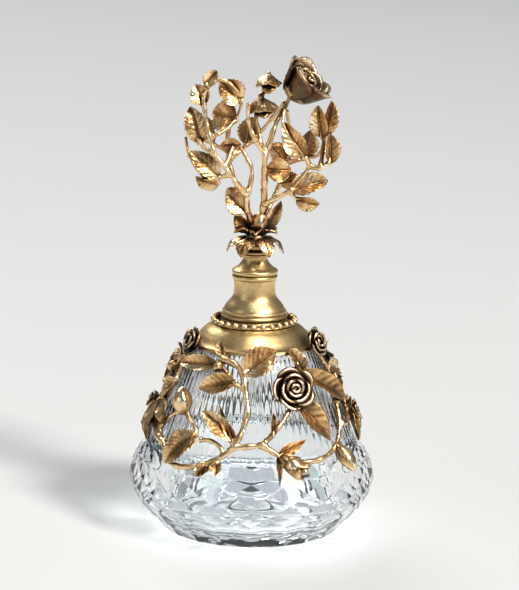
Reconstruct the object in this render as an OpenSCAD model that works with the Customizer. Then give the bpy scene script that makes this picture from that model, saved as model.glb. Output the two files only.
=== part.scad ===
// Dressing-table perfume bottle: a clear faceted glass bottle with a gilt filigree
// jacket, a gilt neck and a lift-out stopper under an open filigree finial.
// Millimetres, +Z up, origin at the middle of the base. The front half of the jacket faces -Y.

/* [Glass bottle] */
// Radius of the ring that the bottle stands on
base_r = 34; // [30:0.5:40]
// Radius of the widest ring, the girdle
girdle_r = 47.5; // [44:0.5:57]
// Height of the girdle's lower edge above the table
girdle_z = 18; // [15:0.5:22]
// Height of the girdle band
girdle_h = 3; // [2:0.5:5]
// Height of the flare between the girdle and the straight cone
flare_h = 13; // [10:0.5:16]
// Outward bulge of the flare
flare_bulge = 1.7; // [0:0.1:2.5]
// Height of the straight cone from the flare to the collar
cone_h = 38; // [30:0.5:46]
// Radius of the cone where the flare ends
cone_low_r = 40.3; // [36:0.1:43]
// Radius of the cone at the collar's lower edge
cone_top_r = 24.2; // [20:0.1:28]
// Rise of the glass shoulder under the collar
shoulder_h = 6.5; // [5:0.5:9]
// Radius of the glass shoulder at the collar's top
shoulder_top_r = 15.6; // [13:0.1:17]
// Outer radius of the glass neck
neck_r = 6.5; // [6:0.1:7.8]
// Height of the neck above the glass shoulder
neck_h = 18.5; // [16:0.5:23]
// Radius of the bore in the neck
neck_bore_r = 5; // [4.3:0.1:5.6]
// Thickness of the glass wall
glass_wall = 3.6; // [2.5:0.1:4.4]
// Thickness of the glass floor at its edge
floor_t = 9; // [6:0.5:11]
// Radius of the push-up dome in the floor
dome_r = 17; // [12:0.5:20]
// Height of the push-up dome
dome_h = 6; // [3:0.5:8]
// Number of cut facets round the base band and the girdle
facets = 36; // [24:4:48]
// Height of the cut band at the very base
base_band_h = 6; // [4:0.5:7]

/* [Metal neck] */
// Thickness of the gilt sheet metal
sheet_t = 0.8; // [0.5:0.1:1.2]
// Radius of the beads on the collar
bead_r = 1.25; // [0.8:0.05:1.5]
// Number of beads
bead_count = 28; // [20:1:32]
// Gap between the beads and the foot of the ferrule
bead_gap = 1.5; // [0.5:0.1:2.5]
// Height of the straight foot of the ferrule
ferrule_foot_h = 3.5; // [3:0.5:6]
// Gap between the glass neck and the inside of the ferrule's waist
waist_gap = 0.6; // [0.3:0.1:1.2]
// How far the rolled lip stands out from the waist
lip_roll = 0.8; // [0.4:0.1:1.4]
// Thickness of the rolled lip above the glass rim
lip_t = 2; // [1.5:0.1:3]
// Clearance between the cement and what it fills
cement_gap = 0.05; // [0.02:0.01:0.2]

/* [Jacket] */
// Radius of a jacket vine
vine_r = 1.25; // [0.9:0.05:1.5]
// Gap between the glass and the jacket's vines
jacket_gap = 0.5; // [0.3:0.1:1]
// Thickness of a cast leaf
leaf_t = 1.1; // [0.8:0.1:1.4]
// Radius of the large open rose
rose_r = 8.4; // [7:0.1:9]
// Depth of the large open rose
rose_h = 5; // [4:0.1:6]
// Radius of the small top rose
top_rose_r = 5.8; // [5:0.1:6.5]
// Depth of the small top rose
top_rose_h = 5; // [4:0.1:6]
// Radius of the small rose at each side
side_rose_r = 4.4; // [3.5:0.1:5]
// Depth of the small rose at each side
side_rose_h = 4; // [3:0.1:5]

/* [Stopper] */
// Radial clearance of the seal sleeve on the plug and in the neck
sleeve_gap = 0.05; // [0.02:0.01:0.1]
// Wall of the seal sleeve
sleeve_t = 0.8; // [0.5:0.1:1]
// Length of the seal sleeve
sleeve_h = 10; // [7:0.5:12]
// Depth of the plug below the glass rim
plug_h = 11; // [9:0.5:14]
// Radius of the dauber's rod
rod_r = 2.2; // [1.6:0.1:2.6]
// Radius of the dauber's rounded tip
tip_r = 3; // [2.6:0.1:3.8]
// Distance from the glass rim down to the dauber's tip
dauber_h = 57; // [45:1:62]
// Gap between the stopper's disc and the ferrule's lip
disc_gap = 0.15; // [0.1:0.05:0.3]
// How far the stopper's disc stands out past the ferrule's lip
disc_overhang = 0.1; // [0:0.1:1]
// Height of the pedestal above the ferrule
pedestal_h = 9.2; // [8:0.1:12]
// Radius of the threaded stud
stud_r = 1.4; // [1.1:0.1:1.8]
// Clearance round the stud and round the dauber's boss
joint_gap = 0.05; // [0.02:0.01:0.15]
// Height of the calyx cup
calyx_h = 6; // [5:0.5:8]

/* [Finial] */
// Height of the finial from the calyx to the top of its rose
finial_h = 70; // [58:1:84]
// Radius of a finial vine
branch_r = 1.1; // [0.8:0.05:1.4]
// Radius of the large finial rose
crown_r = 11; // [9:0.5:12.5]
// Depth of the large finial rose
crown_h = 12; // [10:0.5:14]

/* [Hidden] */

gilt = "#c9a15a";
clear_glass = "#bcd6df";

// Heights, from the table up
girdle_top_z = girdle_z + girdle_h;
cone_low_z = girdle_top_z + flare_h;
collar_z = cone_low_z + cone_h;
shoulder_z = collar_z + shoulder_h;
neck_fillet = 1;
neck_foot_z = shoulder_z + 0.6;
rim_z = shoulder_z + neck_h;
lip_z = rim_z + lip_t;
disc_z = lip_z + disc_gap;
calyx_z = lip_z + pedestal_h;
finial_z = calyx_z + calyx_h;
tip_z = rim_z - dauber_h;

// Radii of the metal neck, from the glass out, and of the plug, from the bore in
bead_overhang = 0.4;
bead_ring_r = shoulder_top_r + sheet_t - bead_r + bead_overhang;
ferrule_r = bead_ring_r - bead_r - bead_gap;
ferrule_waist_r = neck_r + waist_gap + sheet_t;
lip_r = ferrule_waist_r + lip_roll;
disc_r = lip_r + disc_overhang;
plug_r = neck_bore_r - 2 * sleeve_gap - sleeve_t;
socket_depth = 3.5;
boss_r = plug_r - 1;

// Straight lines from a to b, unit vectors and smooth curves through points
function mix(a, b, t) = a + (b - a) * t;
function unit(v) = v / norm(v);
function spline_point(a, b, c, d, t) =
    0.5 * (2 * b + (c - a) * t + (2 * a - 5 * b + 4 * c - d) * t * t
    + (3 * b - a - 3 * c + d) * t * t * t);
function smooth(p, steps) = [
    for (i = [0 : len(p) - 2], k = [0 : steps - 1])
        spline_point(p[max(i - 1, 0)], p[i], p[i + 1], p[min(i + 2, len(p) - 1)], k / steps),
    p[len(p) - 1]
];

// Radius of the glass's outside at a height between the girdle and the collar
cone_slope = (cone_low_r - cone_top_r) / cone_h;
function cone_r(z) = cone_top_r + (collar_z - z) * cone_slope;
function flare_share(z) = max(0, (cone_low_z - z) / flare_h);
function glass_r(z) =
    cone_r(z) + (girdle_r - cone_r(girdle_top_z)) * flare_share(z) + flare_bulge * sin(180 * flare_share(z));

// A round tapering tube along 3-D points; side_hint keeps its rings from twisting
sides = 6;
module tube(path, r_start, r_end, side_hint) {
    n = len(path);
    rings = [
        for (i = [0 : n - 1])
            let (
                along = unit(path[min(i + 1, n - 1)] - path[max(i - 1, 0)]),
                across = unit(cross(side_hint, along)),
                up = cross(along, across),
                r = mix(r_start, r_end, i / (n - 1))
            )
            for (j = [0 : sides - 1])
                let (turn = j * 360 / sides) path[i] + r * (cos(turn) * across + sin(turn) * up)
    ];
    walls = [
        for (i = [0 : n - 2], j = [0 : sides - 1])
            let (
                a = i * sides + j,
                b = i * sides + (j + 1) % sides,
                c = b + sides,
                d = a + sides
            )
            for (face = [[a, d, c], [a, c, b]]) face
    ];
    start_cap = [for (j = [0 : sides - 1]) j];
    end_cap = [for (j = [sides - 1 : -1 : 0]) (n - 1) * sides + j];
    polyhedron(points = rings, faces = concat([start_cap], walls, [end_cap]));
}

// A leaf from its base to its tip: two flat halves that meet in a fold along the midrib
module leaf(from, to, facing, width, fold) {
    along = unit(to - from);
    across = unit(cross(facing, along));
    out = cross(along, across);
    for (side = [-1, 1])
        hull()
            for (p = [
                from,
                to,
                mix(from, to, 0.32) + side * width / 2 * across + fold * out,
                mix(from, to, 0.7) + side * width * 0.4 * across + fold * out
            ])
                translate(p) cube(leaf_t, center = true);
}

// A closed bud: a swelling between its stem end and its tip
module bud(from, to, width) {
    hull() {
        translate(from) cube(leaf_t, center = true);
        translate(mix(from, to, 0.5)) sphere(d = width, $fn = 8);
        translate(to) cube(leaf_t, center = true);
    }
}

// An open rose of three nested cups, its mouth towards +Z and a solder pad on its back
rose_pad_h = 0.8;
module rose_cups(r, h) {
    rotate_extrude($fn = 64)
        polygon([
            [0, -rose_pad_h], [0.3 * r, -rose_pad_h], [0.45 * r, 0], [0.85 * r, 0.45 * h], [r, h],
            [0.92 * r, h], [0.72 * r, 0.5 * h], [0.66 * r, 0.92 * h], [0.57 * r, 0.92 * h],
            [0.42 * r, 0.5 * h], [0.34 * r, 0.98 * h], [0.22 * r, 0.98 * h], [0, 0.6 * h]
        ]);
}

// Glass bottle

module glass_outside() {
    rotate_extrude($fn = 144)
        polygon(concat(
            [
                [0, 0], [base_r, 0], [mix(base_r, girdle_r, 0.4), girdle_z / 3],
                [mix(base_r, girdle_r, 0.74), girdle_z * 2 / 3], [girdle_r, girdle_z]
            ],
            [for (k = [0 : 6]) let (z = girdle_top_z + flare_h * k / 6) [glass_r(z), z]],
            [
                [cone_top_r, collar_z], [shoulder_top_r, shoulder_z], [neck_r + neck_fillet, neck_foot_z],
                [neck_r, neck_foot_z + neck_fillet], [neck_r, rim_z], [0, rim_z]
            ]
        ));
}

module glass_inside() {
    inner_low_r = cone_low_r - glass_wall;
    inner_top_z = shoulder_z - glass_wall;
    corner_r = 4;
    cone_step = glass_wall + 1;
    rotate_extrude($fn = 144)
        polygon(concat(
            [for (k = [0 : 6]) [dome_r * k / 6, floor_t + dome_h * (1 + cos(30 * k)) / 2]],
            [
                [inner_low_r - corner_r, floor_t], [inner_low_r, floor_t + 1.5 * corner_r],
                [inner_low_r, cone_low_z - corner_r], [cone_low_r - cone_step, cone_low_z],
                [cone_top_r - cone_step, collar_z - 1], [shoulder_top_r - cone_step, inner_top_z - 1],
                [neck_bore_r, inner_top_z],
                [neck_bore_r, rim_z + 1], [0, rim_z + 1]
            ]
        ));
}

// A ring of flat facets round the glass, cut as a prism
module facet_band(r, z, h) {
    corners = [for (k = [0 : facets - 1]) let (turn = (k + 0.5) * 360 / facets) r * [sin(turn), cos(turn)]];
    translate([0, 0, z]) linear_extrude(h) polygon(corners);
}

module glass_bottle() {
    band_r = mix(base_r, girdle_r, 0.3);
    color(clear_glass, 0.5)
        difference() {
            intersection() {
                glass_outside();
                union() {
                    facet_band(band_r, 0, base_band_h);
                    translate([0, 0, base_band_h]) cylinder(r = girdle_r + 1, h = rim_z);
                }
            }
            glass_inside();
        }
}

// Metal neck

collar_top_z = neck_foot_z + sheet_t;

module shoulder_collar() {
    swell = 0.5;
    color(gilt)
        rotate_extrude($fn = 144)
            polygon([
                [cone_top_r, collar_z], [shoulder_top_r, shoulder_z], [neck_r + neck_fillet, neck_foot_z],
                [neck_r + neck_fillet, collar_top_z], [shoulder_top_r + sheet_t, collar_top_z],
                [
                    mix(shoulder_top_r, cone_top_r, 0.5) + sheet_t + swell,
                    mix(shoulder_z, collar_z, 0.4) + swell
                ],
                [cone_top_r + sheet_t, collar_z]
            ]);
}

module beaded_ring() {
    bead_z = collar_top_z + bead_r;
    color(gilt)
        for (k = [0 : bead_count - 1])
            rotate([0, 0, k * 360 / bead_count])
                translate([0, -bead_ring_r, bead_z]) sphere(r = bead_r, $fn = 32);
}

// Outline of the ferrule's outside, from its foot to the rim of the glass
bell_h = rim_z - collar_top_z - ferrule_foot_h;
function bell_point(r_share, h_share) =
    [mix(ferrule_waist_r, ferrule_r, r_share), collar_top_z + ferrule_foot_h + bell_h * h_share];
bell = [
    [ferrule_r, collar_top_z], bell_point(1, 0), bell_point(0.84, 0.125), bell_point(0.51, 0.31),
    bell_point(0.12, 0.485), bell_point(0, 0.67), bell_point(0, 1)
];

module neck_ferrule() {
    color(gilt)
        rotate_extrude($fn = 96)
            polygon(concat(
                bell,
                [[lip_r - 0.3, rim_z], [lip_r, rim_z + 0.4], [lip_r, lip_z - 0.4], [lip_r - 0.4, lip_z]],
                [[neck_bore_r + 0.3, lip_z], [neck_bore_r + 0.3, rim_z]],
                [for (k = [len(bell) - 1 : -1 : 0]) bell[k] - [sheet_t, 0]]
            ));
}

module neck_cement() {
    cement_top = 3;
    color("#d8d2c4")
        rotate_extrude($fn = 96)
            polygon(concat(
                [for (k = [0 : cement_top]) bell[k] - [sheet_t + cement_gap, k == 0 ? -cement_gap : 0]],
                [
                    [neck_r + cement_gap, bell[cement_top][1]],
                    [neck_r + cement_gap, neck_foot_z + neck_fillet + cement_gap],
                    [neck_r + neck_fillet + cement_gap, collar_top_z + cement_gap]
                ]
            ));
}

// Jacket. A place on it is [degrees round from -Y, height above the table on the pattern, lift off
// the glass], and the pattern stretches with the cone's height. A steeper flare needs a wider
// sideways distance for the same gap.

pattern_low_z = 34;
pattern_high_z = 72;
function jacket_z(h) = mix(cone_low_z, collar_z, (h - pattern_low_z) / (pattern_high_z - pattern_low_z));

flare_steepness = (girdle_r - cone_r(girdle_top_z)) / flare_h;
flare_stand_off = sqrt(1 + flare_steepness * flare_steepness);
foot_reach = 4;
function flare_nearness(z) = max(0, min(1, (cone_low_z + foot_reach - z) / foot_reach));
function stand_off(z) = (jacket_gap + vine_r) * mix(1, flare_stand_off, flare_nearness(z));
function jacket_place(p) =
    let (
        z = jacket_z(p[1]),
        r = glass_r(z) + stand_off(z) + (len(p) > 2 ? p[2] : 0)
    )
    [r * sin(p[0]), -r * cos(p[0]), z];
function jacket_out(p) = let (e = atan(cone_slope)) [sin(p[0]) * cos(e), -cos(p[0]) * cos(e), sin(e)];

module jacket_vine(path, thickness) {
    places = [for (p = smooth([for (q = path) [q[0], q[1], len(q) > 2 ? q[2] : 0]], 2)) jacket_place(p)];
    middle = path[floor(len(path) / 2)];
    tube(places, vine_r * thickness, vine_r * thickness * 0.85, jacket_out(middle));
}

// A leaf stands off by the bow of the glass under it, so that its straight midrib clears the glass
function lifted(p, more) = [p[0], p[1], (len(p) > 2 ? p[2] : 0) + more];
module jacket_leaf(from, to, width) {
    bow = cone_low_r * (1 - cos((to[0] - from[0]) / 2));
    leaf(
        jacket_place(lifted(from, 0.4 * bow)), jacket_place(lifted(to, 1.2 * bow)),
        jacket_out(mix(from, to, 0.5)), width, 0.6
    );
}

module jacket_bud(from, to, width) {
    bud(jacket_place(from), jacket_place(to), width);
}

// One cast half of the jacket, from -90 to +90 degrees. The other half is the same casting.
module jacket_half() {
    // Long vine from the collar down the middle and round to the left
    jacket_vine(
        [
            [-27, 71], [-15, 69.5], [-8, 66], [-5, 60], [-3, 53], [-5, 48], [-8, 43], [-13, 38.5],
            [-24, 34], [-36, 32], [-47, 33], [-56, 38]
        ],
        1
    );
    // Vine round the left edge, from under the top rose down to the long vine
    jacket_vine(
        [[-56, 38], [-66, 40], [-76, 44], [-84, 50], [-86, 57], [-80, 64], [-70, 69], [-56, 68]], 1
    );
    // Vine from the top bud to the upper left leaf
    jacket_vine([[-40, 68], [-30, 69], [-22, 67], [-14, 63], [-7, 61]], 0.8);
    // Fork under the large rose, from the long vine to the rose and the tulip
    jacket_vine(
        [[-11.5, 40.5], [-3, 41], [6, 42], [13, 46], [20, 50.5], [26, 55], [30, 61], [36, 67], [38, 72]], 0.9
    );
    jacket_vine(
        [[5, 42], [12, 39], [20, 36], [28, 35], [38, 35], [48, 37], [57, 41], [63, 46], [67, 52]], 0.9
    );
    // Vine on the right edge, from the upper leaf to the side rose and the tulip's vine
    jacket_vine([[67, 52], [74, 58], [74, 65], [66, 71]], 0.8);
    jacket_vine([[62, 45], [72, 44], [82, 47], [90, 51], [95, 57]], 0.8);
    // Stem of the left tulip bud and the tendril below it
    jacket_vine([[-47, 52], [-40, 48], [-34, 45], [-34, 41]], 0.8);
    jacket_vine([[-66, 40], [-60, 46], [-54, 49], [-47, 50], [-40, 48]], 0.7);
    jacket_vine([[-30, 42], [-22, 42], [-16, 39], [-18, 34]], 0.7);
    // Leaves, from the collar down
    jacket_leaf([-27, 69, 1], [-62, 67, 1], 5.5);
    jacket_leaf([-24, 71, 1], [-31, 77, 1], 4);
    jacket_leaf([-7, 66.5, 0.5], [18, 75, 1], 10);
    jacket_leaf([40, 66, 0.5], [31, 75, 1], 6);
    jacket_leaf([-12, 63.5, 0.5], [-38, 60, 0.5], 7.5);
    jacket_leaf([36, 66, 0.5], [72, 53, 0.5], 8);
    jacket_leaf([28, 57, 0], [47, 41, 0.5], 9);
    jacket_leaf([-9, 43.5, 0.5], [-31, 52.5, 1], 6.5);
    jacket_leaf([-11, 42, 1], [-21, 55, 1], 2.5);
    jacket_leaf([-33, 44, 0.5], [-47, 32, 0.5], 10);
    jacket_leaf([12, 45, 1], [13, 53, 1], 2.5);
    jacket_leaf([-18, 35, 0.5], [-17, 31, 0.5], 5);
    jacket_leaf([-22, 34, 0.5], [-27, 30, 0.5], 5);
    jacket_leaf([14, 38, 1], [31, 43, 1], 4.5);
    jacket_leaf([14, 38, 1], [13, 28, 0.5], 2.5);
    jacket_leaf([-84, 50, 0.5], [-72, 36, 0.5], 9);
    jacket_leaf([-76, 67, 0.5], [-92, 70, 0.5], 7);
    jacket_leaf([74, 65, 0.5], [93, 62, 1], 7);
    jacket_leaf([84, 47, 0.5], [80, 36, 0.5], 7);
    // Small berry, tulip, hanging bud, left tulip bud and the berry on the left edge
    jacket_bud([-31, 69, 1], [-24, 67, 1], 4);
    jacket_bud([15, 37, 1.5], [27, 31, 4.2], 7);
    jacket_bud([52, 37.5, 0.8], [54, 30, 2.2], 5.5);
    jacket_bud([-46, 51, 0.8], [-51, 58, 2.4], 5.5);
    jacket_bud([-80, 65, 1], [-84, 61, 1], 5);
}

module jacket_front() {
    color(gilt) jacket_half();
}

module jacket_back() {
    color(gilt) rotate([0, 0, 180]) jacket_half();
}

// Places of the roses, and how far the large one is turned from the surface it sits on
large_rose_place = [29, 60, -0.4];
large_rose_turn = -12;
top_rose_places = [[-61, 74, -1], [64, 74, -1], [180, 74, -1]];
side_rose_place = [86, 47, 0.2];

module placed_rose(place, half_turn, face_turn, r, h) {
    color("#d9b878")
        rotate([0, 0, half_turn])
            translate(jacket_place(place))
                rotate([90 - atan(cone_slope), 0, place[0] + face_turn])
                    rose_cups(r, h);
}

module large_rose(half_turn) {
    placed_rose(large_rose_place, half_turn, large_rose_turn, rose_r, rose_h);
}

module top_rose(place) {
    placed_rose(place, 0, 0, top_rose_r, top_rose_h);
}

module side_rose(half_turn) {
    placed_rose(side_rose_place, half_turn, 0, side_rose_r, side_rose_h);
}

// Stopper

module seal_sleeve() {
    color("ivory")
        translate([0, 0, rim_z - sleeve_h - 0.5])
            difference() {
                cylinder(r = neck_bore_r - sleeve_gap, h = sleeve_h, $fn = 96);
                translate([0, 0, -1]) cylinder(r = plug_r + sleeve_gap, h = sleeve_h + 2, $fn = 96);
            }
}

module dauber() {
    color(clear_glass, 0.6)
        rotate_extrude($fn = 96)
            polygon([
                [0, tip_z], [0.5 * tip_r, tip_z + 0.3], [0.87 * tip_r, tip_z + 1.5], [tip_r, tip_z + 3],
                [0.9 * tip_r, tip_z + 5], [rod_r, tip_z + 8], [rod_r, rim_z - plug_h - 2],
                [plug_r, rim_z - plug_h], [plug_r, lip_z], [boss_r, lip_z],
                [boss_r, disc_z + socket_depth], [0, disc_z + socket_depth]
            ]);
}

module stopper_pedestal() {
    disc_h = 1.9;
    edge_round = 0.5;
    foot_r = 6.4;
    waist_r = 4.8;
    crest_r = 5.5;
    function level(share) = mix(disc_z, calyx_z, share);
    color(gilt)
        difference() {
            rotate_extrude($fn = 96)
                polygon([
                    [0, disc_z], [disc_r, disc_z], [disc_r, disc_z + disc_h - edge_round],
                    [disc_r - edge_round, disc_z + disc_h], [foot_r, level(0.29)],
                    [mix(waist_r, foot_r, 0.4), level(0.42)], [waist_r, level(0.6)],
                    [mix(waist_r, crest_r, 0.6), level(0.82)], [crest_r, calyx_z - edge_round],
                    [crest_r - edge_round, calyx_z], [0, calyx_z]
                ]);
            translate([0, 0, disc_z - 1])
                cylinder(r = boss_r + joint_gap, h = socket_depth + 1 + joint_gap, $fn = 96);
            translate([0, 0, disc_z]) cylinder(r = stud_r + joint_gap, h = pedestal_h + 1, $fn = 64);
        }
}

module threaded_stud() {
    stud_low_z = disc_z + socket_depth + 0.2;
    color("#8f7a4a")
        translate([0, 0, stud_low_z]) cylinder(r = stud_r, h = finial_z - stud_low_z + 2.5, $fn = 64);
}

calyx_foot_r = 4.6;
calyx_belly_r = 5.2;
calyx_mouth_r = 3.4;

module calyx_cup() {
    color(gilt)
        difference() {
            rotate_extrude($fn = 96)
                polygon([
                    [0, calyx_z], [calyx_foot_r, calyx_z], [calyx_belly_r, calyx_z + 0.25 * calyx_h],
                    [mix(calyx_mouth_r, calyx_belly_r, 0.55), calyx_z + 0.6 * calyx_h],
                    [calyx_mouth_r, finial_z], [0, finial_z]
                ]);
            translate([0, 0, calyx_z - 1]) cylinder(r = stud_r + joint_gap, h = calyx_h + 2, $fn = 64);
        }
}

// Six leaves, each of an upper part and a part that hangs from its end over the cup
module calyx_leaves() {
    calyx_leaf_count = 6;
    upper_tip_r = 9;
    lower_root_r = 7.5;
    lower_tip_r = 11.3;
    hang = 1.5;
    color(gilt)
        for (k = [0 : calyx_leaf_count - 1])
            rotate([0, 0, (k + 0.5) * 360 / calyx_leaf_count]) {
                leaf(
                    [0, -calyx_foot_r, finial_z - 1], [0, -upper_tip_r, finial_z - 3],
                    [0, -0.4, 1], 6, -0.3
                );
                leaf(
                    [0, -lower_root_r, finial_z - 2], [0, -lower_tip_r, calyx_z - hang],
                    [0, -1, 0.6], 5, -0.3
                );
            }
}

// Finial. A place on it is [x, y, z] on the pattern, z above the calyx, and the pattern grows
// evenly with the finial's height.

pattern_finial_h = 70;
finial_scale = finial_h / pattern_finial_h;
function finial_place(p) = [0, 0, finial_z] + finial_scale * p;
front = [0, -1, 0];

// Where the large rose sits and the way it faces; its branch ends just behind it
crown_base = [12.5, 1, 53.2];
crown_axis = [0.69, -0.2, 0.69];
crown_seat = 0.3;
crown_foot = crown_base - crown_seat / finial_scale * unit(crown_axis);
// The tip of one leaf of the right spray rests against the side of the rose's cup
crown_side = unit([0.63, -0.3, -0.72]);
crown_rest_up = 0.46 * crown_h;
crown_rest_out = 0.89 * crown_r;
crown_rest = crown_base + (crown_rest_up * unit(crown_axis) + crown_rest_out * crown_side) / finial_scale;

module finial_vine(path, thickness) {
    places = [for (p = smooth(path, 2)) finial_place(p)];
    tube(places, branch_r * thickness, branch_r * thickness * 0.8, [0.1, -1, 0.1]);
}

module finial_leaf(from, to, facing, width) {
    leaf(finial_place(from), finial_place(to), facing, width * finial_scale, 0.5);
}

module finial_bud(from, to, width) {
    bud(finial_place(from), finial_place(to), width * finial_scale);
}

module finial_stem() {
    color(gilt) {
        finial_bud([0, 0, 0.6], [3, -1, 8], 7);
        // Main stem, then the two branches above its fork
        finial_vine([[0, 0, -1], [2, -1, 5], [3, -2, 12], [3, -3, 20], [3, -4, 26], [3, -5, 31]], 1.7);
        finial_vine([[3, -5, 31], [0, -6, 36], [-2.5, -6, 41], [-3.5, -6, 46], [-3.5, -6, 51]], 1);
        finial_vine([[3, -5, 31], [4.5, -4, 35], [6, -3, 40], [8, -1, 45], [10.5, 1, 49], crown_foot], 1.1);
        finial_vine([[2, -5, 33], [0.5, -4, 40], [-0.5, -4, 46], [1.5, -1, 52], [4, 1, 59]], 0.9);
        // Left strand that leaves the stem low down
        finial_vine([[0, 0, 1], [-2, -2, 5], [-3.5, -4, 10], [-3.5, -6, 16]], 1.1);
        // Stacked domed leaves at the top of the middle
        finial_leaf([1, -1, 52], [2.5, -9, 47], [0, -0.7, 0.7], 11);
        finial_leaf([4, 1, 59], [4, -7, 55], [0, -0.7, 0.7], 9);
        // Leaves at the foot
        finial_leaf([3, -1, 2], [9.5, -1, 13], [0.3, -1, 0], 5);
        finial_leaf([-2, -1, 2], [-8, -3, 8], [-0.3, -1, 0], 6);
        // Leaf on the left strand and folded leaf on the main stem
        finial_leaf([-3, -3.5, 9], [-11, -1, 15], [0.2, -1, 0], 8);
        finial_leaf([3.5, -3.5, 25], [13, -2, 25], [0, -1, 0.2], 9);
    }
}

module finial_left_spray() {
    color(gilt) {
        finial_vine(
            [
                [-3.5, -6, 16], [-8, -8, 21.5], [-12, -8, 27], [-15.5, -8, 31.5], [-17.5, -7, 37],
                [-19, -6, 43], [-20, -5, 49], [-20.5, -4, 53]
            ],
            1.1
        );
        finial_vine([[-3.5, -6, 16], [-2, -5, 21], [-2, -4, 26], [-4, -3, 30], [-6.5, -2, 34]], 1);
        finial_vine([[-12, -8, 27], [-10.5, -6, 30], [-9, -3, 34]], 0.9);
        finial_vine([[-15.5, -8, 31], [-20, -6, 34], [-23, -3, 37]], 0.9);
        finial_vine([[-10, -8, 24], [-18, -6, 22], [-23, -4, 26], [-26, -2, 32], [-27, -1, 37]], 0.9);
        finial_vine([[-17, -7, 38], [-12, -3, 40], [-8, 1, 44], [-6, 1, 50]], 0.8);
        finial_vine([[-20.5, -4, 53], [-17, -3, 58], [-12, -2, 58.5], [-7, -1, 54]], 0.9);
        finial_leaf([-21, -3, 35], [-25.3, -1, 48.5], front, 7.5);
        finial_leaf([-14, -7, 22.5], [-25, -4, 32], [0.2, -1, 0.2], 7);
        finial_leaf([-14, -6, 20], [-23, -3, 22], [0.1, -0.8, -0.6], 6);
        finial_leaf([-20, -4, 51], [-24.5, -2, 56], front, 5);
        finial_leaf([-20, -4, 57], [-15.5, -3, 62.5], front, 5);
        finial_leaf([-6, 0.5, 50.5], [-14.5, 1, 57.5], [0, -1, 0.3], 9);
        finial_leaf([-8, 1.5, 43], [-17, 4, 46], [0, -1, 0.2], 11);
        finial_leaf([-6, -2, 34], [-14, -2, 34], front, 6);
    }
}

module finial_right_spray() {
    color(gilt) {
        finial_vine([[3, -3, 12], [8, -5, 15], [13, -6, 18.5], [17, -5, 23], [20, -4, 27]], 1);
        finial_vine([[20, -4, 27], [24, -5, 26.5], [27, -4, 29]], 0.9);
        finial_vine([[20, -4, 27], [18, -5, 31], [12, -5, 38], [9.5, -4, 44], [10.5, -1, 49]], 0.9);
        finial_vine([[24, -4, 27], [25, -1, 34], [25, 1, 41], [24, 2, 47]], 0.9);
        finial_leaf([18, -5, 30], [10, -4, 43.5], [-0.3, -1, 0.2], 7.5);
        finial_leaf([24, -3, 38], crown_rest, [-0.2, -1, 0], 6);
        finial_leaf([25, -1, 38], [28, 0, 51.5], [0.4, -1, 0], 6);
        finial_leaf([27.5, -4, 28], [27, -2, 39.5], [0.5, -1, 0], 6);
        finial_leaf([13, -6, 18], [27, -3, 21.5], [0, -1, 0.6], 8);
        finial_leaf([15, -6, 15], [24, -3, 12.5], [0, -1, -0.5], 6);
    }
}

module finial_back_spray() {
    color(gilt) {
        // The far side of the cage: two vines that bow to +Y and meet the sides
        finial_vine([[0, 0, 1], [-3, 5, 8], [-8, 9, 18], [-11, 11, 28], [-11, 10, 38], [-8, 5, 44]], 1.1);
        finial_vine([[1, 1, 2], [5, 6, 9], [9, 10, 18], [12, 11, 28], [12, 9, 39], [11, 4, 47]], 1.1);
        finial_vine([[-10, 11, 27], [-4, 13, 32], [2, 13, 38], [7, 10, 45], [10, 4, 50]], 1);
        finial_vine([[-11, 11, 30], [-17, 8, 33], [-21, 3, 37], [-21, -3, 38]], 0.9);
        finial_vine([[12, 11, 26], [18, 8, 28], [23, 3, 30], [25, -1, 34]], 0.9);
        finial_leaf([-4, 4, 9], [-11, 3, 17], [-0.3, 1, 0], 8);
        finial_leaf([11, 11, 26], [5, 10, 33], [0.2, 1, 0], 8);
        finial_leaf([-4, 13, 32], [-2, 13, 43], [0, 1, 0.2], 9);
        finial_leaf([-17, 8, 33], [-20, 6, 44], [-0.5, 1, 0], 7);
        finial_leaf([18, 8, 28], [20, 7, 39], [0.5, 1, 0], 7);
        finial_leaf([9, 10, 18], [17, 8, 20], [0.3, 1, 0], 7);
    }
}

module finial_rose() {
    lean = acos(crown_axis[2] / norm(crown_axis));
    bearing = atan2(crown_axis[1], crown_axis[0]);
    color("#d9b878")
        translate(finial_place(crown_base))
            rotate([0, lean, bearing])
                rose_cups(crown_r, crown_h);
}

glass_bottle();
neck_cement();
shoulder_collar();
beaded_ring();
neck_ferrule();
jacket_front();
jacket_back();
large_rose(0);  // large_rose_front
large_rose(180);  // large_rose_back
top_rose(top_rose_places[0]);  // top_rose_1
top_rose(top_rose_places[1]);  // top_rose_2
top_rose(top_rose_places[2]);  // top_rose_3
side_rose(0);  // side_rose_1
side_rose(180);  // side_rose_2
seal_sleeve();
dauber();
stopper_pedestal();
threaded_stud();
calyx_cup();
calyx_leaves();
finial_stem();
finial_left_spray();
finial_right_spray();
finial_back_spray();
finial_rose();
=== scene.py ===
# Looks of the perfume bottle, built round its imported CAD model.
# Shapes are worked out in millimetres in the CAD frame and become metres in add_piece().
import math

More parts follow.
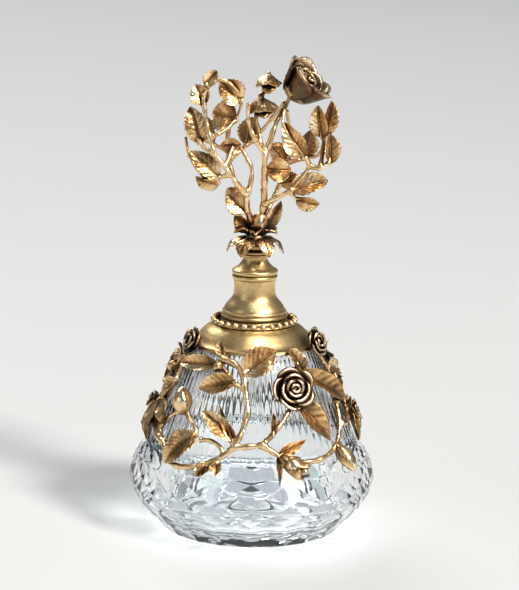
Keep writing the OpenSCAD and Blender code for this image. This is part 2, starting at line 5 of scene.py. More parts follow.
import bpy
import numpy as np
from mathutils import Matrix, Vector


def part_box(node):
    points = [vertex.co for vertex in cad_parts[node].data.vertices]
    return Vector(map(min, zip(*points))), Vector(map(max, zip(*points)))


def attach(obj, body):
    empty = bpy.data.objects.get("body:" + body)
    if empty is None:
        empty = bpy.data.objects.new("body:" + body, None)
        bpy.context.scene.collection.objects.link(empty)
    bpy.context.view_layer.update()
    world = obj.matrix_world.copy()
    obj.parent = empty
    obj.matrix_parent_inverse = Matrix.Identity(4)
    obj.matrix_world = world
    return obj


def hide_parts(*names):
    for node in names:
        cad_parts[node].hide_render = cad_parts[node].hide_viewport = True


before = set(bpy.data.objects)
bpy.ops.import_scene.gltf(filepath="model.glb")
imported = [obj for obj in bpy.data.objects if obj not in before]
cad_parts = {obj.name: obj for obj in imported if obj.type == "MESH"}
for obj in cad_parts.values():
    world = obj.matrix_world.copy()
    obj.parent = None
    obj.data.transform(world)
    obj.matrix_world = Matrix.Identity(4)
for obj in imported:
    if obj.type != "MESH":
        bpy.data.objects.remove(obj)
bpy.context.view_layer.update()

MM = 0.001
TAU = 2 * math.pi

# ---------------------------------------------------------------- heights and radii from the frame


def box_mm(node):
    low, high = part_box(node)
    return np.array(low) / MM, np.array(high) / MM


glass_high = box_mm("glass_bottle")[1]
collar_low, collar_high = box_mm("shoulder_collar")
ferrule_high = box_mm("neck_ferrule")[1]
pedestal_low, pedestal_high = box_mm("stopper_pedestal")
cup_low, cup_high = box_mm("calyx_cup")
dauber_low, dauber_high = box_mm("dauber")
beads_low, beads_high = box_mm("beaded_ring")

girdle_r = glass_high[0]
rim_z = glass_high[2]
collar_z = collar_low[2]
collar_top_z = collar_high[2]
lip_z = ferrule_high[2]
disc_z = pedestal_low[2]
calyx_z = cup_low[2]
finial_z = cup_high[2]
tip_z = dauber_low[2]

# Sizes that the CAD model names and its boxes don't show
BASE_R = 34
GIRDLE_Z = 18
GIRDLE_H = 3
FLARE_H = 13
FLARE_BULGE = 1.7
CONE_LOW_R = 40.3
CONE_TOP_R = 24.2
SHOULDER_TOP_R = 15.6
SHOULDER_H = 6.5
NECK_R = 6.5
NECK_BORE_R = 5
GLASS_WALL = 3.6
FLOOR_T = 9
DOME_R = 17
DOME_H = 6
SHEET_T = 0.8
VINE_R = 1.25
JACKET_GAP = 0.5
BRANCH_R = 0.95

girdle_top_z = GIRDLE_Z + GIRDLE_H
cone_low_z = girdle_top_z + FLARE_H
shoulder_z = collar_z + SHOULDER_H
cone_h = collar_z - cone_low_z
cone_slope = (CONE_LOW_R - CONE_TOP_R) / cone_h
cone_lean = math.atan(cone_slope)


def cone_r(z):
    return CONE_TOP_R + (collar_z - z) * cone_slope


def glass_r(z):
    """Radius of the glass between the girdle and the collar."""
    share = max(0.0, (cone_low_z - z) / FLARE_H)
    bulge = FLARE_BULGE * math.sin(math.pi * share)
    return cone_r(z) + (girdle_r - cone_r(girdle_top_z)) * share + bulge


# ---------------------------------------------------------------- small geometry helpers


def vec(p):
    return np.asarray(p, float)


def unit(v):
    v = vec(v)
    return v / np.linalg.norm(v)


def mix(a, b, t):
    return a + (b - a) * t


def ramp(x, low, high):
    """0 below low, 1 above high and smooth between."""
    t = np.clip((x - low) / (high - low), 0, 1)
    return t * t * (3 - 2 * t)


def smooth_path(points, steps):
    """A Catmull-Rom curve through the points."""
    p = [vec(q) for q in points]
    made = []
    for i in range(len(p) - 1):
        a, b, c, d = p[max(i - 1, 0)], p[i], p[i + 1], p[min(i + 2, len(p) - 1)]
        for k in range(steps):
            t = k / steps
            made.append(
                0.5 * (2 * b + (c - a) * t + (2 * a - 5 * b + 4 * c - d) * t**2
                       + (3 * b - a - 3 * c + d) * t**3)
            )
    made.append(p[-1])
    return np.array(made)


def turns(count):
    """Angles at even steps round a full turn."""
    return np.arange(count) / count * TAU


def frame_from(origin, axis, toward):
    """A local frame whose z is axis and whose y leans toward a direction: (origin, 3 by 3 rows x, y, z)."""
    w = unit(axis)
    u = unit(np.cross(toward, w))
    return vec(origin), np.array([u, np.cross(w, u), w])


def placed(local, place):
    origin, axes = place
    return origin + np.asarray(local, float) @ axes


class Shape:
    """Points, faces and a relief value for each point: 0 in a recess, 1 on a rubbed edge; on leaves one half
    also carries painted shade.
    """

    def __init__(self):
        self.points, self.faces, self.relief, self.count = [], [], [], 0

    def add(self, points, faces, relief=0.5):
        points = np.asarray(points, float).reshape(-1, 3)
        self.points.append(points)
        self.faces += [tuple(int(i) + self.count for i in face) for face in faces]
        self.relief.append(np.clip(np.broadcast_to(relief, (len(points),)), 0, 1))
        self.count += len(points)

    def turned(self, angle):
        """A copy turned about the bottle's axis."""
        c, s = math.cos(angle), math.sin(angle)
        turn = np.array([[c, s, 0], [-s, c, 0], [0, 0, 1]])
        copy = Shape()
        copy.points = [p @ turn for p in self.points]
        copy.faces, copy.relief, copy.count = list(self.faces), list(self.relief), self.count
        return copy


def grid_faces(rows, cols, closed=False, start=0, flip=False):
    """Quads of a grid of rows by cols points; closed joins the last column to the first."""
    faces = []
    for i in range(rows - 1):
        for j in range(cols if closed else cols - 1):
            k = (j + 1) % cols
            quad = (start + i * cols + j, start + i * cols + k,
                    start + (i + 1) * cols + k, start + (i + 1) * cols + j)
            faces.append(quad[::-1] if flip else quad)
    return faces


def end_caps(rows, cols):
    """The two faces that close the first and the last ring of a closed grid."""
    return [tuple(range(cols - 1, -1, -1)), tuple(range((rows - 1) * cols, rows * cols))]


def slab(shape, top, bottom, relief_top, relief_bottom):
    """A closed sheet between two grids of points of the same size."""
    rows, cols = top.shape[:2]
    n = rows * cols
    faces = grid_faces(rows, cols) + grid_faces(rows, cols, start=n, flip=True)
    border = [(0, j) for j in range(cols)]
    border += [(i, cols - 1) for i in range(1, rows)]
    border += [(rows - 1, j) for j in range(cols - 2, -1, -1)]
    border += [(i, 0) for i in range(rows - 2, 0, -1)]
    ring = [i * cols + j for i, j in border]
    for k, a in enumerate(ring):
        b = ring[(k + 1) % len(ring)]
        faces.append((a, n + a, n + b, b))
    points = np.vstack([top.reshape(-1, 3), bottom.reshape(-1, 3)])
    relief = np.concatenate([np.broadcast_to(relief_top, (rows, cols)).ravel(),
                             np.broadcast_to(relief_bottom, (rows, cols)).ravel()])
    shape.add(points, faces, relief)


# ---------------------------------------------------------------- cast shapes: vines, leaves, buds, roses


def tube(shape, path, r_start, r_end, knots=0.2, flare=0.5, sides=12):
    """A cast vine: a tapering tube with a flared root and small swellings along it."""
    n = len(path)
    lengths = np.concatenate([[0], np.cumsum(np.linalg.norm(np.diff(path, axis=0), axis=1))])
    across = unit(np.cross([0.1, -1, 0.13], path[1] - path[0]))
    rings = []
    for i in range(n):
        along = unit(path[min(i + 1, n - 1)] - path[max(i - 1, 0)])
        across = unit(across - along * (across @ along))
        up = np.cross(along, across)
        s = lengths[i]
        swell = 1 + knots * math.sin(s * 0.9 + path[0][0]) * math.sin(s * 0.37 + path[0][2])
        root = 1 + flare * math.exp(-s / 2.2)
        r = mix(r_start, r_end, s / lengths[-1]) * swell * root
        turn = turns(sides)
        rings.append(path[i] + r * (np.cos(turn)[:, None] * across + np.sin(turn)[:, None] * up))
    points = np.vstack(rings + [path[:1], path[-1:]])
    faces = grid_faces(n, sides, closed=True)
    faces += [((j + 1) % sides, j, n * sides) for j in range(sides)]
    last = (n - 1) * sides
    faces += [(last + j, last + (j + 1) % sides, n * sides + 1) for j in range(sides)]
    shape.add(points, faces, 0.55)


def thorn(shape, point, out, size):
    """A small node scar on a vine: a squat cone."""
    place = frame_from(point, out, [0.3, 0.2, 1])
    turn = turns(8)
    ring = np.stack([np.cos(turn), np.sin(turn), 0 * turn], 1) * size
    rings = [ring, ring * 0.7 + [0, 0, size * 0.8], ring * 0.2 + [0, 0, size * 1.2]]
    points = placed(np.vstack(rings), place)
    shape.add(points, grid_faces(3, 8, closed=True) + end_caps(3, 8), 0.7)


def leaf(shape, start, tip, facing, width, fold=0.45, bow=0.08, veins=7, teeth=0,
         relief_h=0.2, thickness=1.0, wave=0.16, curl=0.0, seed=0.0, point=0.8):
    """A cast leaf: an ovate sheet folded along its midrib, with side veins, puffed fields, a rubbed rim and
    painted shade on one half.
    """
    start, tip = vec(start), vec(tip)
    length = np.linalg.norm(tip - start)
    along = unit(tip - start)
    across = unit(np.cross(facing, along))
    out = np.cross(along, across)
    rows, cols = (46, 25) if teeth else (31, 23)
    u = np.linspace(0, 1, rows)[:, None]
    v = np.linspace(-1, 1, cols)[None, :]
    edge = np.abs(v)
    outline = u**0.5 * (1 - u)**point
    half = width / 2 * np.maximum(outline / outline.max(), 0.07 * (1 - u) + 0.012)
    half = half * (1 + 0.05 * np.sin(2 * np.pi * veins * u + seed) * np.sin(np.pi * u)**0.5)
    hammered = 0.06 * np.sin(11 * u * length / width + 3 * seed) * np.sin(6.5 * v + 5 * u + seed)
    if teeth:
        half = half * (1 + 0.09 * ((u * teeth) % 1.0 - 0.5) * np.sin(np.pi * u)**0.4)
    side = v * half * (1 + 0.03 * np.sin(9 * u + seed))
    lean = u * length + 0.12 * half * edge
    phase = veins * (u - 0.3 * edge * width / length * 1.2)
    field = np.abs(np.sin(np.pi * phase))
    inside = ramp(edge, 0.05, 0.25) * (1 - ramp(edge, 0.82, 1.0)) * np.sin(np.pi * u)**0.35
    fine = 0.25 * np.sin(4.3 * np.pi * phase + 2 * seed) * relief_h if teeth else 0
    midrib = np.exp(-((v * half / 0.38) ** 2)) * (1 - ramp(u, 0.75, 1.0))
    rim = ramp(edge, 0.86, 1.0) * np.sin(np.pi * u)**0.3
    height = (
        fold * half * edge**1.3
        + relief_h * (field**0.6 - 0.55) * inside + (fine + hammered) * inside
        - 1.6 * relief_h * midrib + 0.5 * relief_h * rim
        + bow * length * 4 * u * (1 - u)
        + curl * length * np.maximum(0, u - 0.55) ** 2 * 4
        + wave * half * np.sin(7.5 * u + 2.1 * np.sign(v) + seed) * edge**2.5
    )
    top = start + lean[..., None] * along + side[..., None] * across + height[..., None] * out
    t = thickness * (1 - 0.45 * edge**2) * (1 - 0.35 * u)
    bottom = top - t[..., None] * out + (0.06 * side)[..., None] * -across
    wear_and_shade = 0.5 + 0.45 * rim + 0.4 * (field - 0.62) * inside - 0.45 * midrib + 0.14 * np.sin(5 * u + seed)
    # Painted light and shade: one half of each leaf is made darker and the other lighter, as if the fold
    # turned one half away from the lamps
    wear_and_shade = wear_and_shade - 0.12 * np.sign(v) * np.sin(seed) * ramp(edge, 0.05, 0.3)
    slab(shape, top, bottom, wear_and_shade, 0.3 + 0.3 * rim)


def bud(shape, start, tip, width, petals=5, twist=0.5, fullness=0.42, seed=0.0):
    """A closed bud: a drop with overlapping petals turned round its axis."""
    start, tip = vec(start), vec(tip)
    length = np.linalg.norm(tip - start)
    place = frame_from(start, tip - start, [0.2, -1, 0.3])
    rows, cols = 26, 36
    t = np.linspace(0, 1, rows)[:, None]
    turn = turns(cols)[None, :]
    body = t**0.55 * (1 - t) ** 0.7
    body = body / body.max() * width / 2 + 0.12
    phase = (petals * (turn / TAU + twist * t) + seed) % 1.0
    step = phase * ramp(t, 0.1, 0.5)
    r = body * (1 + 0.16 * (step - 0.5)) + 0 * turn
    bend = fullness * 0.1 * width * np.sin(np.pi * t)
    points = np.stack([r * np.cos(turn) + bend, r * np.sin(turn), t * length + 0 * turn], -1)
    wear_and_shade = 0.45 + 0.5 * (phase - 0.45) * ramp(t, 0.1, 0.5) + 0.15 * t
    shape.add(placed(points.reshape(-1, 3), place),
              grid_faces(rows, cols, closed=True) + end_caps(rows, cols), wear_and_shade.ravel())


def petal(shape, place, angle, spread, radius, height, flare, thickness, foot=0.3, droop=0.2, seed=0.0,
          back=0.9, whorl=0.11):
    """One petal of a rose round the local z axis: a cupped sheet with a rolled rim.
    whorl is how far one side lies inside the other, as a share of the radius.
    """
    rows, cols = 16, 19
    t = np.linspace(0, 1, rows)[:, None]
    s = np.linspace(-1, 1, cols)[None, :]
    reach = t * (1 - droop * s**2 - 0.12 * s**6) * (1 + 0.03 * np.sin(5 * s + seed))
    turn = angle + s * spread / 2 * (0.72 + 0.28 * np.minimum(1, 1.6 * t))
    roll = ramp(reach, 0.72, 1.0)
    rho = radius * (foot + (1 - foot) * reach**0.75) + flare * roll + whorl * radius * s
    rho = rho + 0.02 * radius * np.sin(3.1 * s + 2 * seed) * reach
    z = height * (reach**1.15 - 0.1 * (flare / max(radius, 1)) * roll) - 0.25 * flare * roll**2
    outer = np.stack([rho * np.cos(turn), rho * np.sin(turn), z], -1)
    t_wall = thickness * (0.75 + 0.5 * roll) * (1 - 0.45 * np.abs(s)**4)
    inner_rho = np.maximum(rho - t_wall, 0.05)
    inner = np.stack([inner_rho * np.cos(turn), inner_rho * np.sin(turn), z + 0.12 * t_wall], -1)
    rows_out = placed(outer.reshape(-1, 3), place).reshape(rows, cols, 3)
    rows_in = placed(inner.reshape(-1, 3), place).reshape(rows, cols, 3)
    wear_and_shade = 0.22 + 0.3 * reach + 0.48 * ramp(reach, 0.8, 1.0) + 0 * s
    slab(shape, rows_in, rows_out, wear_and_shade - 0.12, wear_and_shade * mix(back, 1, ramp(reach, 0.86, 1.0)))


def rose(shape, place, r, h, rings, heart=0.16, seed=0.0, back=0.9):
    """An open rose: rings of petals, each ring (count, radius share, height share, flare share)."""
    for k, (count, r_share, h_share, flare) in enumerate(rings):
        for i in range(count):
            angle = TAU * (i + 0.45 * k) / count + seed
            uneven = 0.05 * math.sin(3.7 * i + 2.3 * k + 5 * seed)
            petal(shape, place, angle, TAU / count * 1.36, r * (r_share - abs(uneven)),
                  h * (h_share + uneven), r * flare, 0.07 * r + 0.2, foot=0.34 - 0.04 * k,
                  droop=0.24 - 0.03 * k, seed=seed + i * 1.7 + k, back=back)
    rows, cols = 10, 24
    t = np.linspace(0, 1, rows)[:, None]
    turn = turns(cols)[None, :]
    spiral = 1 + 0.14 * np.cos(turn - 5 * t)
    rho = heart * r * np.cos(t * 1.45) ** 0.6 * spiral
    knob = np.stack([rho * np.cos(turn), rho * np.sin(turn), h * (0.35 + 0.5 * t) + 0 * turn], -1)
    shape.add(placed(knob.reshape(-1, 3), place),
              grid_faces(rows, cols, closed=True) + end_caps(rows, cols)[::-1],
              (0.3 + 0.5 * t + 0.2 * np.cos(turn - 5 * t)).ravel())
    # The cup behind the petals closes the rose at the back
    back = np.array([[0, -0.06], [0.3, -0.05], [0.5, 0.06], [0.62, 0.2], [0.5, 0.26], [0.3, 0.2], [0, 0.2]])
    cols = 32
    turn = turns(cols)
    rings_xy = [np.stack([p * r * np.cos(turn), p * r * np.sin(turn), 0 * turn + q * h], 1) for p, q in back]
    shape.add(placed(np.vstack(rings_xy), place), grid_faces(len(back), cols, closed=True), 0.2)


def sepals(shape, place, count, r, length, width, droop, seed=0.0):
    """Pointed sepals that spread from under a rose or a bud."""
    origin, axes = place
    for i in range(count):
        a = TAU * i / count + seed
        side = math.cos(a) * axes[0] + math.sin(a) * axes[1]
        start = origin + 0.5 * r * side - 0.02 * r * axes[2]
        tip = start + length * (side * math.cos(droop) + axes[2] * math.sin(droop))
        leaf(shape, start, tip, side * -math.sin(droop) + axes[2] * math.cos(droop), width,
             fold=0.3, bow=0.14, veins=3, relief_h=0.08, thickness=0.6, seed=a, point=1.0)


# ---------------------------------------------------------------- turned shapes


def lathe(shape, outline, cols=144, relief=None, closed=True):
    """A surface of revolution of [r, z] points; closed joins the last point to the first."""
    outline = np.asarray(outline, float)
    turn = turns(cols)
    r, z = outline[:, 0][:, None], outline[:, 1][:, None]
    points = np.stack([r * np.sin(turn), -r * np.cos(turn), z + 0 * turn], -1)
    rows = len(outline)
    faces = grid_faces(rows, cols, closed=True)
    if closed:
        last = (rows - 1) * cols
        faces += [(last + j, last + (j + 1) % cols, (j + 1) % cols, j) for j in range(cols)]
    values = np.broadcast_to(0.5 if relief is None else np.asarray(relief)[:, None], (rows, cols))
    shape.add(points, faces, values.ravel())


def moulding(z, r_in, r_out, h, steps=8):
    """Half-round moulding from height z up to z + h, bulging from r_in to r_out, as [r, z] points."""
    return [[r_in + (r_out - r_in) * math.sin(math.pi * k / steps) ** 0.7, z + h * k / steps]
            for k in range(steps + 1)]


# ---------------------------------------------------------------- materials


def new_material(name):
    material = bpy.data.materials.new(name)
    material.use_nodes = True
    tree = material.node_tree
    tree.nodes.clear()
    out = tree.nodes.new("ShaderNodeOutputMaterial")
    shader = tree.nodes.new("ShaderNodeBsdfPrincipled")
    tree.links.new(shader.outputs[0], out.inputs[0])
    return material, tree, shader, out


def noise(tree, scale, detail=4.0, stretch=None):
    """Noise fixed to the object; stretch scales its three axes apart."""
    place = tree.nodes.new("ShaderNodeTexCoord")
    made = tree.nodes.new("ShaderNodeTexNoise")
    made.inputs["Scale"].default_value = scale
    made.inputs["Detail"].default_value = detail
    made.inputs["Roughness"].default_value = 0.55
    source = place.outputs["Object"]
    if stretch:
        mapping = tree.nodes.new("ShaderNodeMapping")
        mapping.inputs["Scale"].default_value = stretch
        tree.links.new(source, mapping.inputs["Vector"])
        source = mapping.outputs[0]
    tree.links.new(source, made.inputs["Vector"])
    return made.outputs["Fac"]


def math_node(tree, kind, a, b, clamp=False):
    made = tree.nodes.new("ShaderNodeMath")
    made.operation = kind
    made.use_clamp = clamp
    for socket, value in zip(made.inputs, (a, b)):
        if isinstance(value, (int, float)):
            socket.default_value = value
        else:
            tree.links.new(value, socket)
    return made.outputs[0]


def swing(tree, scale, detail, middle, amount):
    """Noise that swings either side of zero: (noise - middle) * amount."""
    centred = math_node(tree, "SUBTRACT", noise(tree, scale, detail), middle)
    return math_node(tree, "MULTIPLY", centred, amount)


def bump(tree, height, strength, depth, under=None):
    """A normal roughened by height. depth is in metres, and under is the normal it starts from."""
    made = tree.nodes.new("ShaderNodeBump")
    made.inputs["Strength"].default_value = strength
    made.inputs["Distance"].default_value = depth
    tree.links.new(height, made.inputs["Height"])
    if under:
        tree.links.new(under, made.inputs["Normal"])
    return made.outputs[0]


def colour_ramp(tree, value, stops):
    made = tree.nodes.new("ShaderNodeValToRGB")
    elements = made.color_ramp.elements
    while len(elements) < len(stops):
        elements.new(0.5)
    for element, (place, colour) in zip(elements, stops):
        element.position = place
        element.color = (*colour, 1)
    tree.links.new(value, made.inputs[0])
    return made.outputs[0]


def gilt(name, stops, rough=(0.5, 0.24), blotch=0.5, grain=0.35, brushed=None, cast_lumps=0.7):
    """Antique gilt metal: dark patina in recesses, bright gold on rubbed edges, and painted shade from
    ambient occlusion wherever parts lie close together.
    cast_lumps is the height in mm of the uneven casting skin.
    """
    material, tree, shader, _ = new_material(name)
    shader.inputs["Metallic"].default_value = 1.0
    relief = tree.nodes.new("ShaderNodeAttribute")
    relief.attribute_name = "relief"
    blot = swing(tree, 170, 5, 0.5, blotch)
    speck = swing(tree, 900, 3, 0.5, grain)
    raised = math_node(tree, "ADD", math_node(tree, "ADD", relief.outputs["Fac"], blot), speck, clamp=True)
    # Painted shade: ambient occlusion darkens the colour in creases and where parts lie close together, on
    # top of the patina
    occlusion_shade = tree.nodes.new("ShaderNodeAmbientOcclusion")
    occlusion_shade.samples = 8
    occlusion_shade.inputs["Distance"].default_value = 0.005
    wear_and_shade = math_node(tree, "MULTIPLY", raised, math_node(tree, "POWER", occlusion_shade.outputs["AO"], 1.8))
    patina = tree.nodes.new("ShaderNodeMix")
    patina.data_type = "RGBA"
    patina.inputs[7].default_value = (*PATINA, 1)
    tree.links.new(colour_ramp(tree, wear_and_shade, stops), patina.inputs[6])
    cloud = swing(tree, 75, 3, 0.47, 3.0)
    shade = math_node(tree, "MULTIPLY", math_node(tree, "SUBTRACT", 0.66, wear_and_shade), 2.2, clamp=True)
    tree.links.new(math_node(tree, "MULTIPLY", shade, cloud, clamp=True), patina.inputs[0])
    tree.links.new(patina.outputs[2], shader.inputs["Base Color"])
    span = tree.nodes.new("ShaderNodeMapRange")
    span.inputs["To Min"].default_value = rough[0]
    span.inputs["To Max"].default_value = rough[1]
    tree.links.new(wear_and_shade, span.inputs["Value"])
    tree.links.new(span.outputs[0], shader.inputs["Roughness"])
    lumps = bump(tree, noise(tree, 380, 3), 0.5, cast_lumps * MM)
    skin = bump(tree, noise(tree, 1100, 4, stretch=brushed), 0.35, 0.18 * MM, lumps)
    tree.links.new(skin, shader.inputs["Normal"])
    return material


PATINA = (0.13, 0.13, 0.075)
GILT_STOPS = [
    (0.0, (0.04, 0.022, 0.01)), (0.2, (0.26, 0.13, 0.05)), (0.38, (0.66, 0.38, 0.16)),
    (0.58, (0.93, 0.66, 0.35)), (0.85, (1.0, 0.86, 0.62)),
]
ROSE_STOPS = [
    (0.0, (0.035, 0.02, 0.012)), (0.25, (0.24, 0.13, 0.07)), (0.42, (0.72, 0.46, 0.26)),
    (0.6, (0.97, 0.78, 0.52)), (0.85, (1.0, 0.93, 0.78)),
]
SHEET_STOPS = [
    (0.0, (0.16, 0.11, 0.05)), (0.3, (0.5, 0.33, 0.14)), (0.52, (0.78, 0.56, 0.26)),
    (0.75, (0.93, 0.73, 0.4)), (1.0, (1.0, 0.88, 0.62)),
]


def clear_glass(name, tint, roughness):
    """Clear glass that lets lamps through to what is behind it."""
    material, tree, shader, out = new_material(name)
    shader.inputs["Base Color"].default_value = (*tint, 1)
    shader.inputs["Roughness"].default_value = roughness
    shader.inputs["IOR"].default_value = 1.5
    shader.inputs["Transmission Weight"].default_value = 1.0
    path = tree.nodes.new("ShaderNodeLightPath")
    clear = tree.nodes.new("ShaderNodeBsdfTransparent")
    clear.inputs["Color"].default_value = (0.9, 0.93, 0.94, 1)
    blend = tree.nodes.new("ShaderNodeMixShader")
    tree.links.new(path.outputs["Is Shadow Ray"], blend.inputs[0])
    tree.links.new(shader.outputs[0], blend.inputs[1])
    tree.links.new(clear.outputs[0], blend.inputs[2])
    tree.links.new(blend.outputs[0], out.inputs[0])
    tree.links.new(bump(tree, noise(tree, 60, 2), 0.12, 0.4 * MM), shader.inputs["Normal"])
    return material


def matte(name, colour, spread, roughness, scale=300):
    """A plain matte material with a slightly uneven colour."""
    material, tree, shader, _ = new_material(name)
    low = tuple(c * (1 - spread) for c in colour)
    tree.links.new(colour_ramp(tree, noise(tree, scale), [(0.3, low), (0.7, colour)]),
                   shader.inputs["Base Color"])
    shader.inputs["Roughness"].default_value = roughness
    return material


MATERIALS = {
    "gilt_cast": gilt("antique_gilt_cast", GILT_STOPS, rough=(0.45, 0.18), blotch=0.8),
    "gilt_rose": gilt("antique_gilt_rose", ROSE_STOPS, rough=(0.45, 0.2), blotch=0.6),
    "gilt_sheet": gilt("spun_gilt_sheet", SHEET_STOPS, rough=(0.46, 0.27), blotch=0.45, grain=0.3,
                       brushed=(0.15, 0.15, 6), cast_lumps=0.12),
    "stud_brass": gilt("stud_brass", SHEET_STOPS, blotch=0.2, grain=0.1),
    "clear_glass": clear_glass("clear_glass", (0.97, 0.99, 1.0), 0.0),
    "dauber_glass": clear_glass("dauber_glass", (0.97, 0.99, 1.0), 0.02),
    "cement": matte("set_cement", (0.8, 0.77, 0.7), 0.15, 0.9),
    "sleeve": matte("seal_sleeve", (0.92, 0.9, 0.84), 0.05, 0.45),
}


# ---------------------------------------------------------------- making the pieces


def curvature(mesh):
    """How far each point stands out from its neighbours: over 0 on ridges, under 0 in grooves."""
    n = len(mesh.vertices)
    co = np.empty(n * 3)
    no = np.empty(n * 3)
    mesh.vertices.foreach_get("co", co)
    mesh.vertex_normals.foreach_get("vector", no)
    co, no = co.reshape(-1, 3), no.reshape(-1, 3)
    ends = np.empty(len(mesh.edges) * 2, np.int32)
    mesh.edges.foreach_get("vertices", ends)
    ends = ends.reshape(-1, 2)
    total, count = np.zeros(n), np.zeros(n)
    for a, b in ((ends[:, 0], ends[:, 1]), (ends[:, 1], ends[:, 0])):
        step = co[a] - co[b]
        length = np.maximum(np.linalg.norm(step, axis=1), 1e-9)
        np.add.at(total, a, (no[a] * step).sum(1) / length)
        np.add.at(count, a, 1)
    return total / np.maximum(count, 1)


def add_piece(name, shape, body, slot, replaces=(), flat=False, fuse=0.0):
    """Makes a Blender piece from a shape. fuse is the voxel size in mm that joins its tubes into one skin."""
    mesh = bpy.data.meshes.new(name)
    mesh.from_pydata((np.vstack(shape.points) * MM).tolist(), [], shape.faces)
    made = bpy.data.objects.new(name, mesh)
    bpy.context.scene.collection.objects.link(made)
    if fuse:
        remesh = made.modifiers.new("fuse", "REMESH")
        remesh.mode = "VOXEL"
        remesh.voxel_size = fuse * MM
        soften = made.modifiers.new("soften", "SMOOTH")
        soften.factor = 0.5
        soften.iterations = 4
        ready = made.evaluated_get(bpy.context.evaluated_depsgraph_get())
        mesh = bpy.data.meshes.new_from_object(ready)
        made.modifiers.clear()
        made.data = mesh
        relief = 0.55 + 0.0 * np.zeros(len(mesh.vertices))
    else:
        relief = np.concatenate(shape.relief)
    relief = np.clip(relief + 0.9 * curvature(mesh), 0, 1)
    values = mesh.attributes.new("relief", "FLOAT", "POINT")
    values.data.foreach_set("value", relief.astype(np.float32))
    mesh.polygons.foreach_set("use_smooth", np.full(len(mesh.polygons), not flat))
    mesh.materials.clear()
    mesh.materials.append(MATERIALS[slot])
    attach(made, body)
    if replaces:
        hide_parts(*replaces)
    return made


# ---------------------------------------------------------------- glass bottle

CUT = 40
FLUTES = 80
FLUTE_STEPS = 8


def ring_points(z, r, count, z_odd=None, r_odd=None):
    """A ring of points; every other one may have its own height and radius."""
    k = np.arange(count)
    turn = k / count * TAU
    odd = k % 2 == 1
    rr = np.where(odd, r if r_odd is None else r_odd, r)
    zz = np.where(odd, z if z_odd is None else z_odd, z)
    return np.stack([rr * np.sin(turn), -rr * np.cos(turn), zz + 0 * turn], 1)


def plain_ring(r, z, turn):
    """A level ring of points at the angles of turn; r may differ from point to point."""
    return np.stack([r * np.sin(turn), -r * np.cos(turn), z + 0 * turn], 1)


def lower_wall_r(z):
    """Radius of the cut wall from the base up to the top of the girdle."""
    return float(np.interp(z, [0, 6, 12, GIRDLE_Z, girdle_top_z], [BASE_R, 39.4, 44, 47.0, 47.0]))


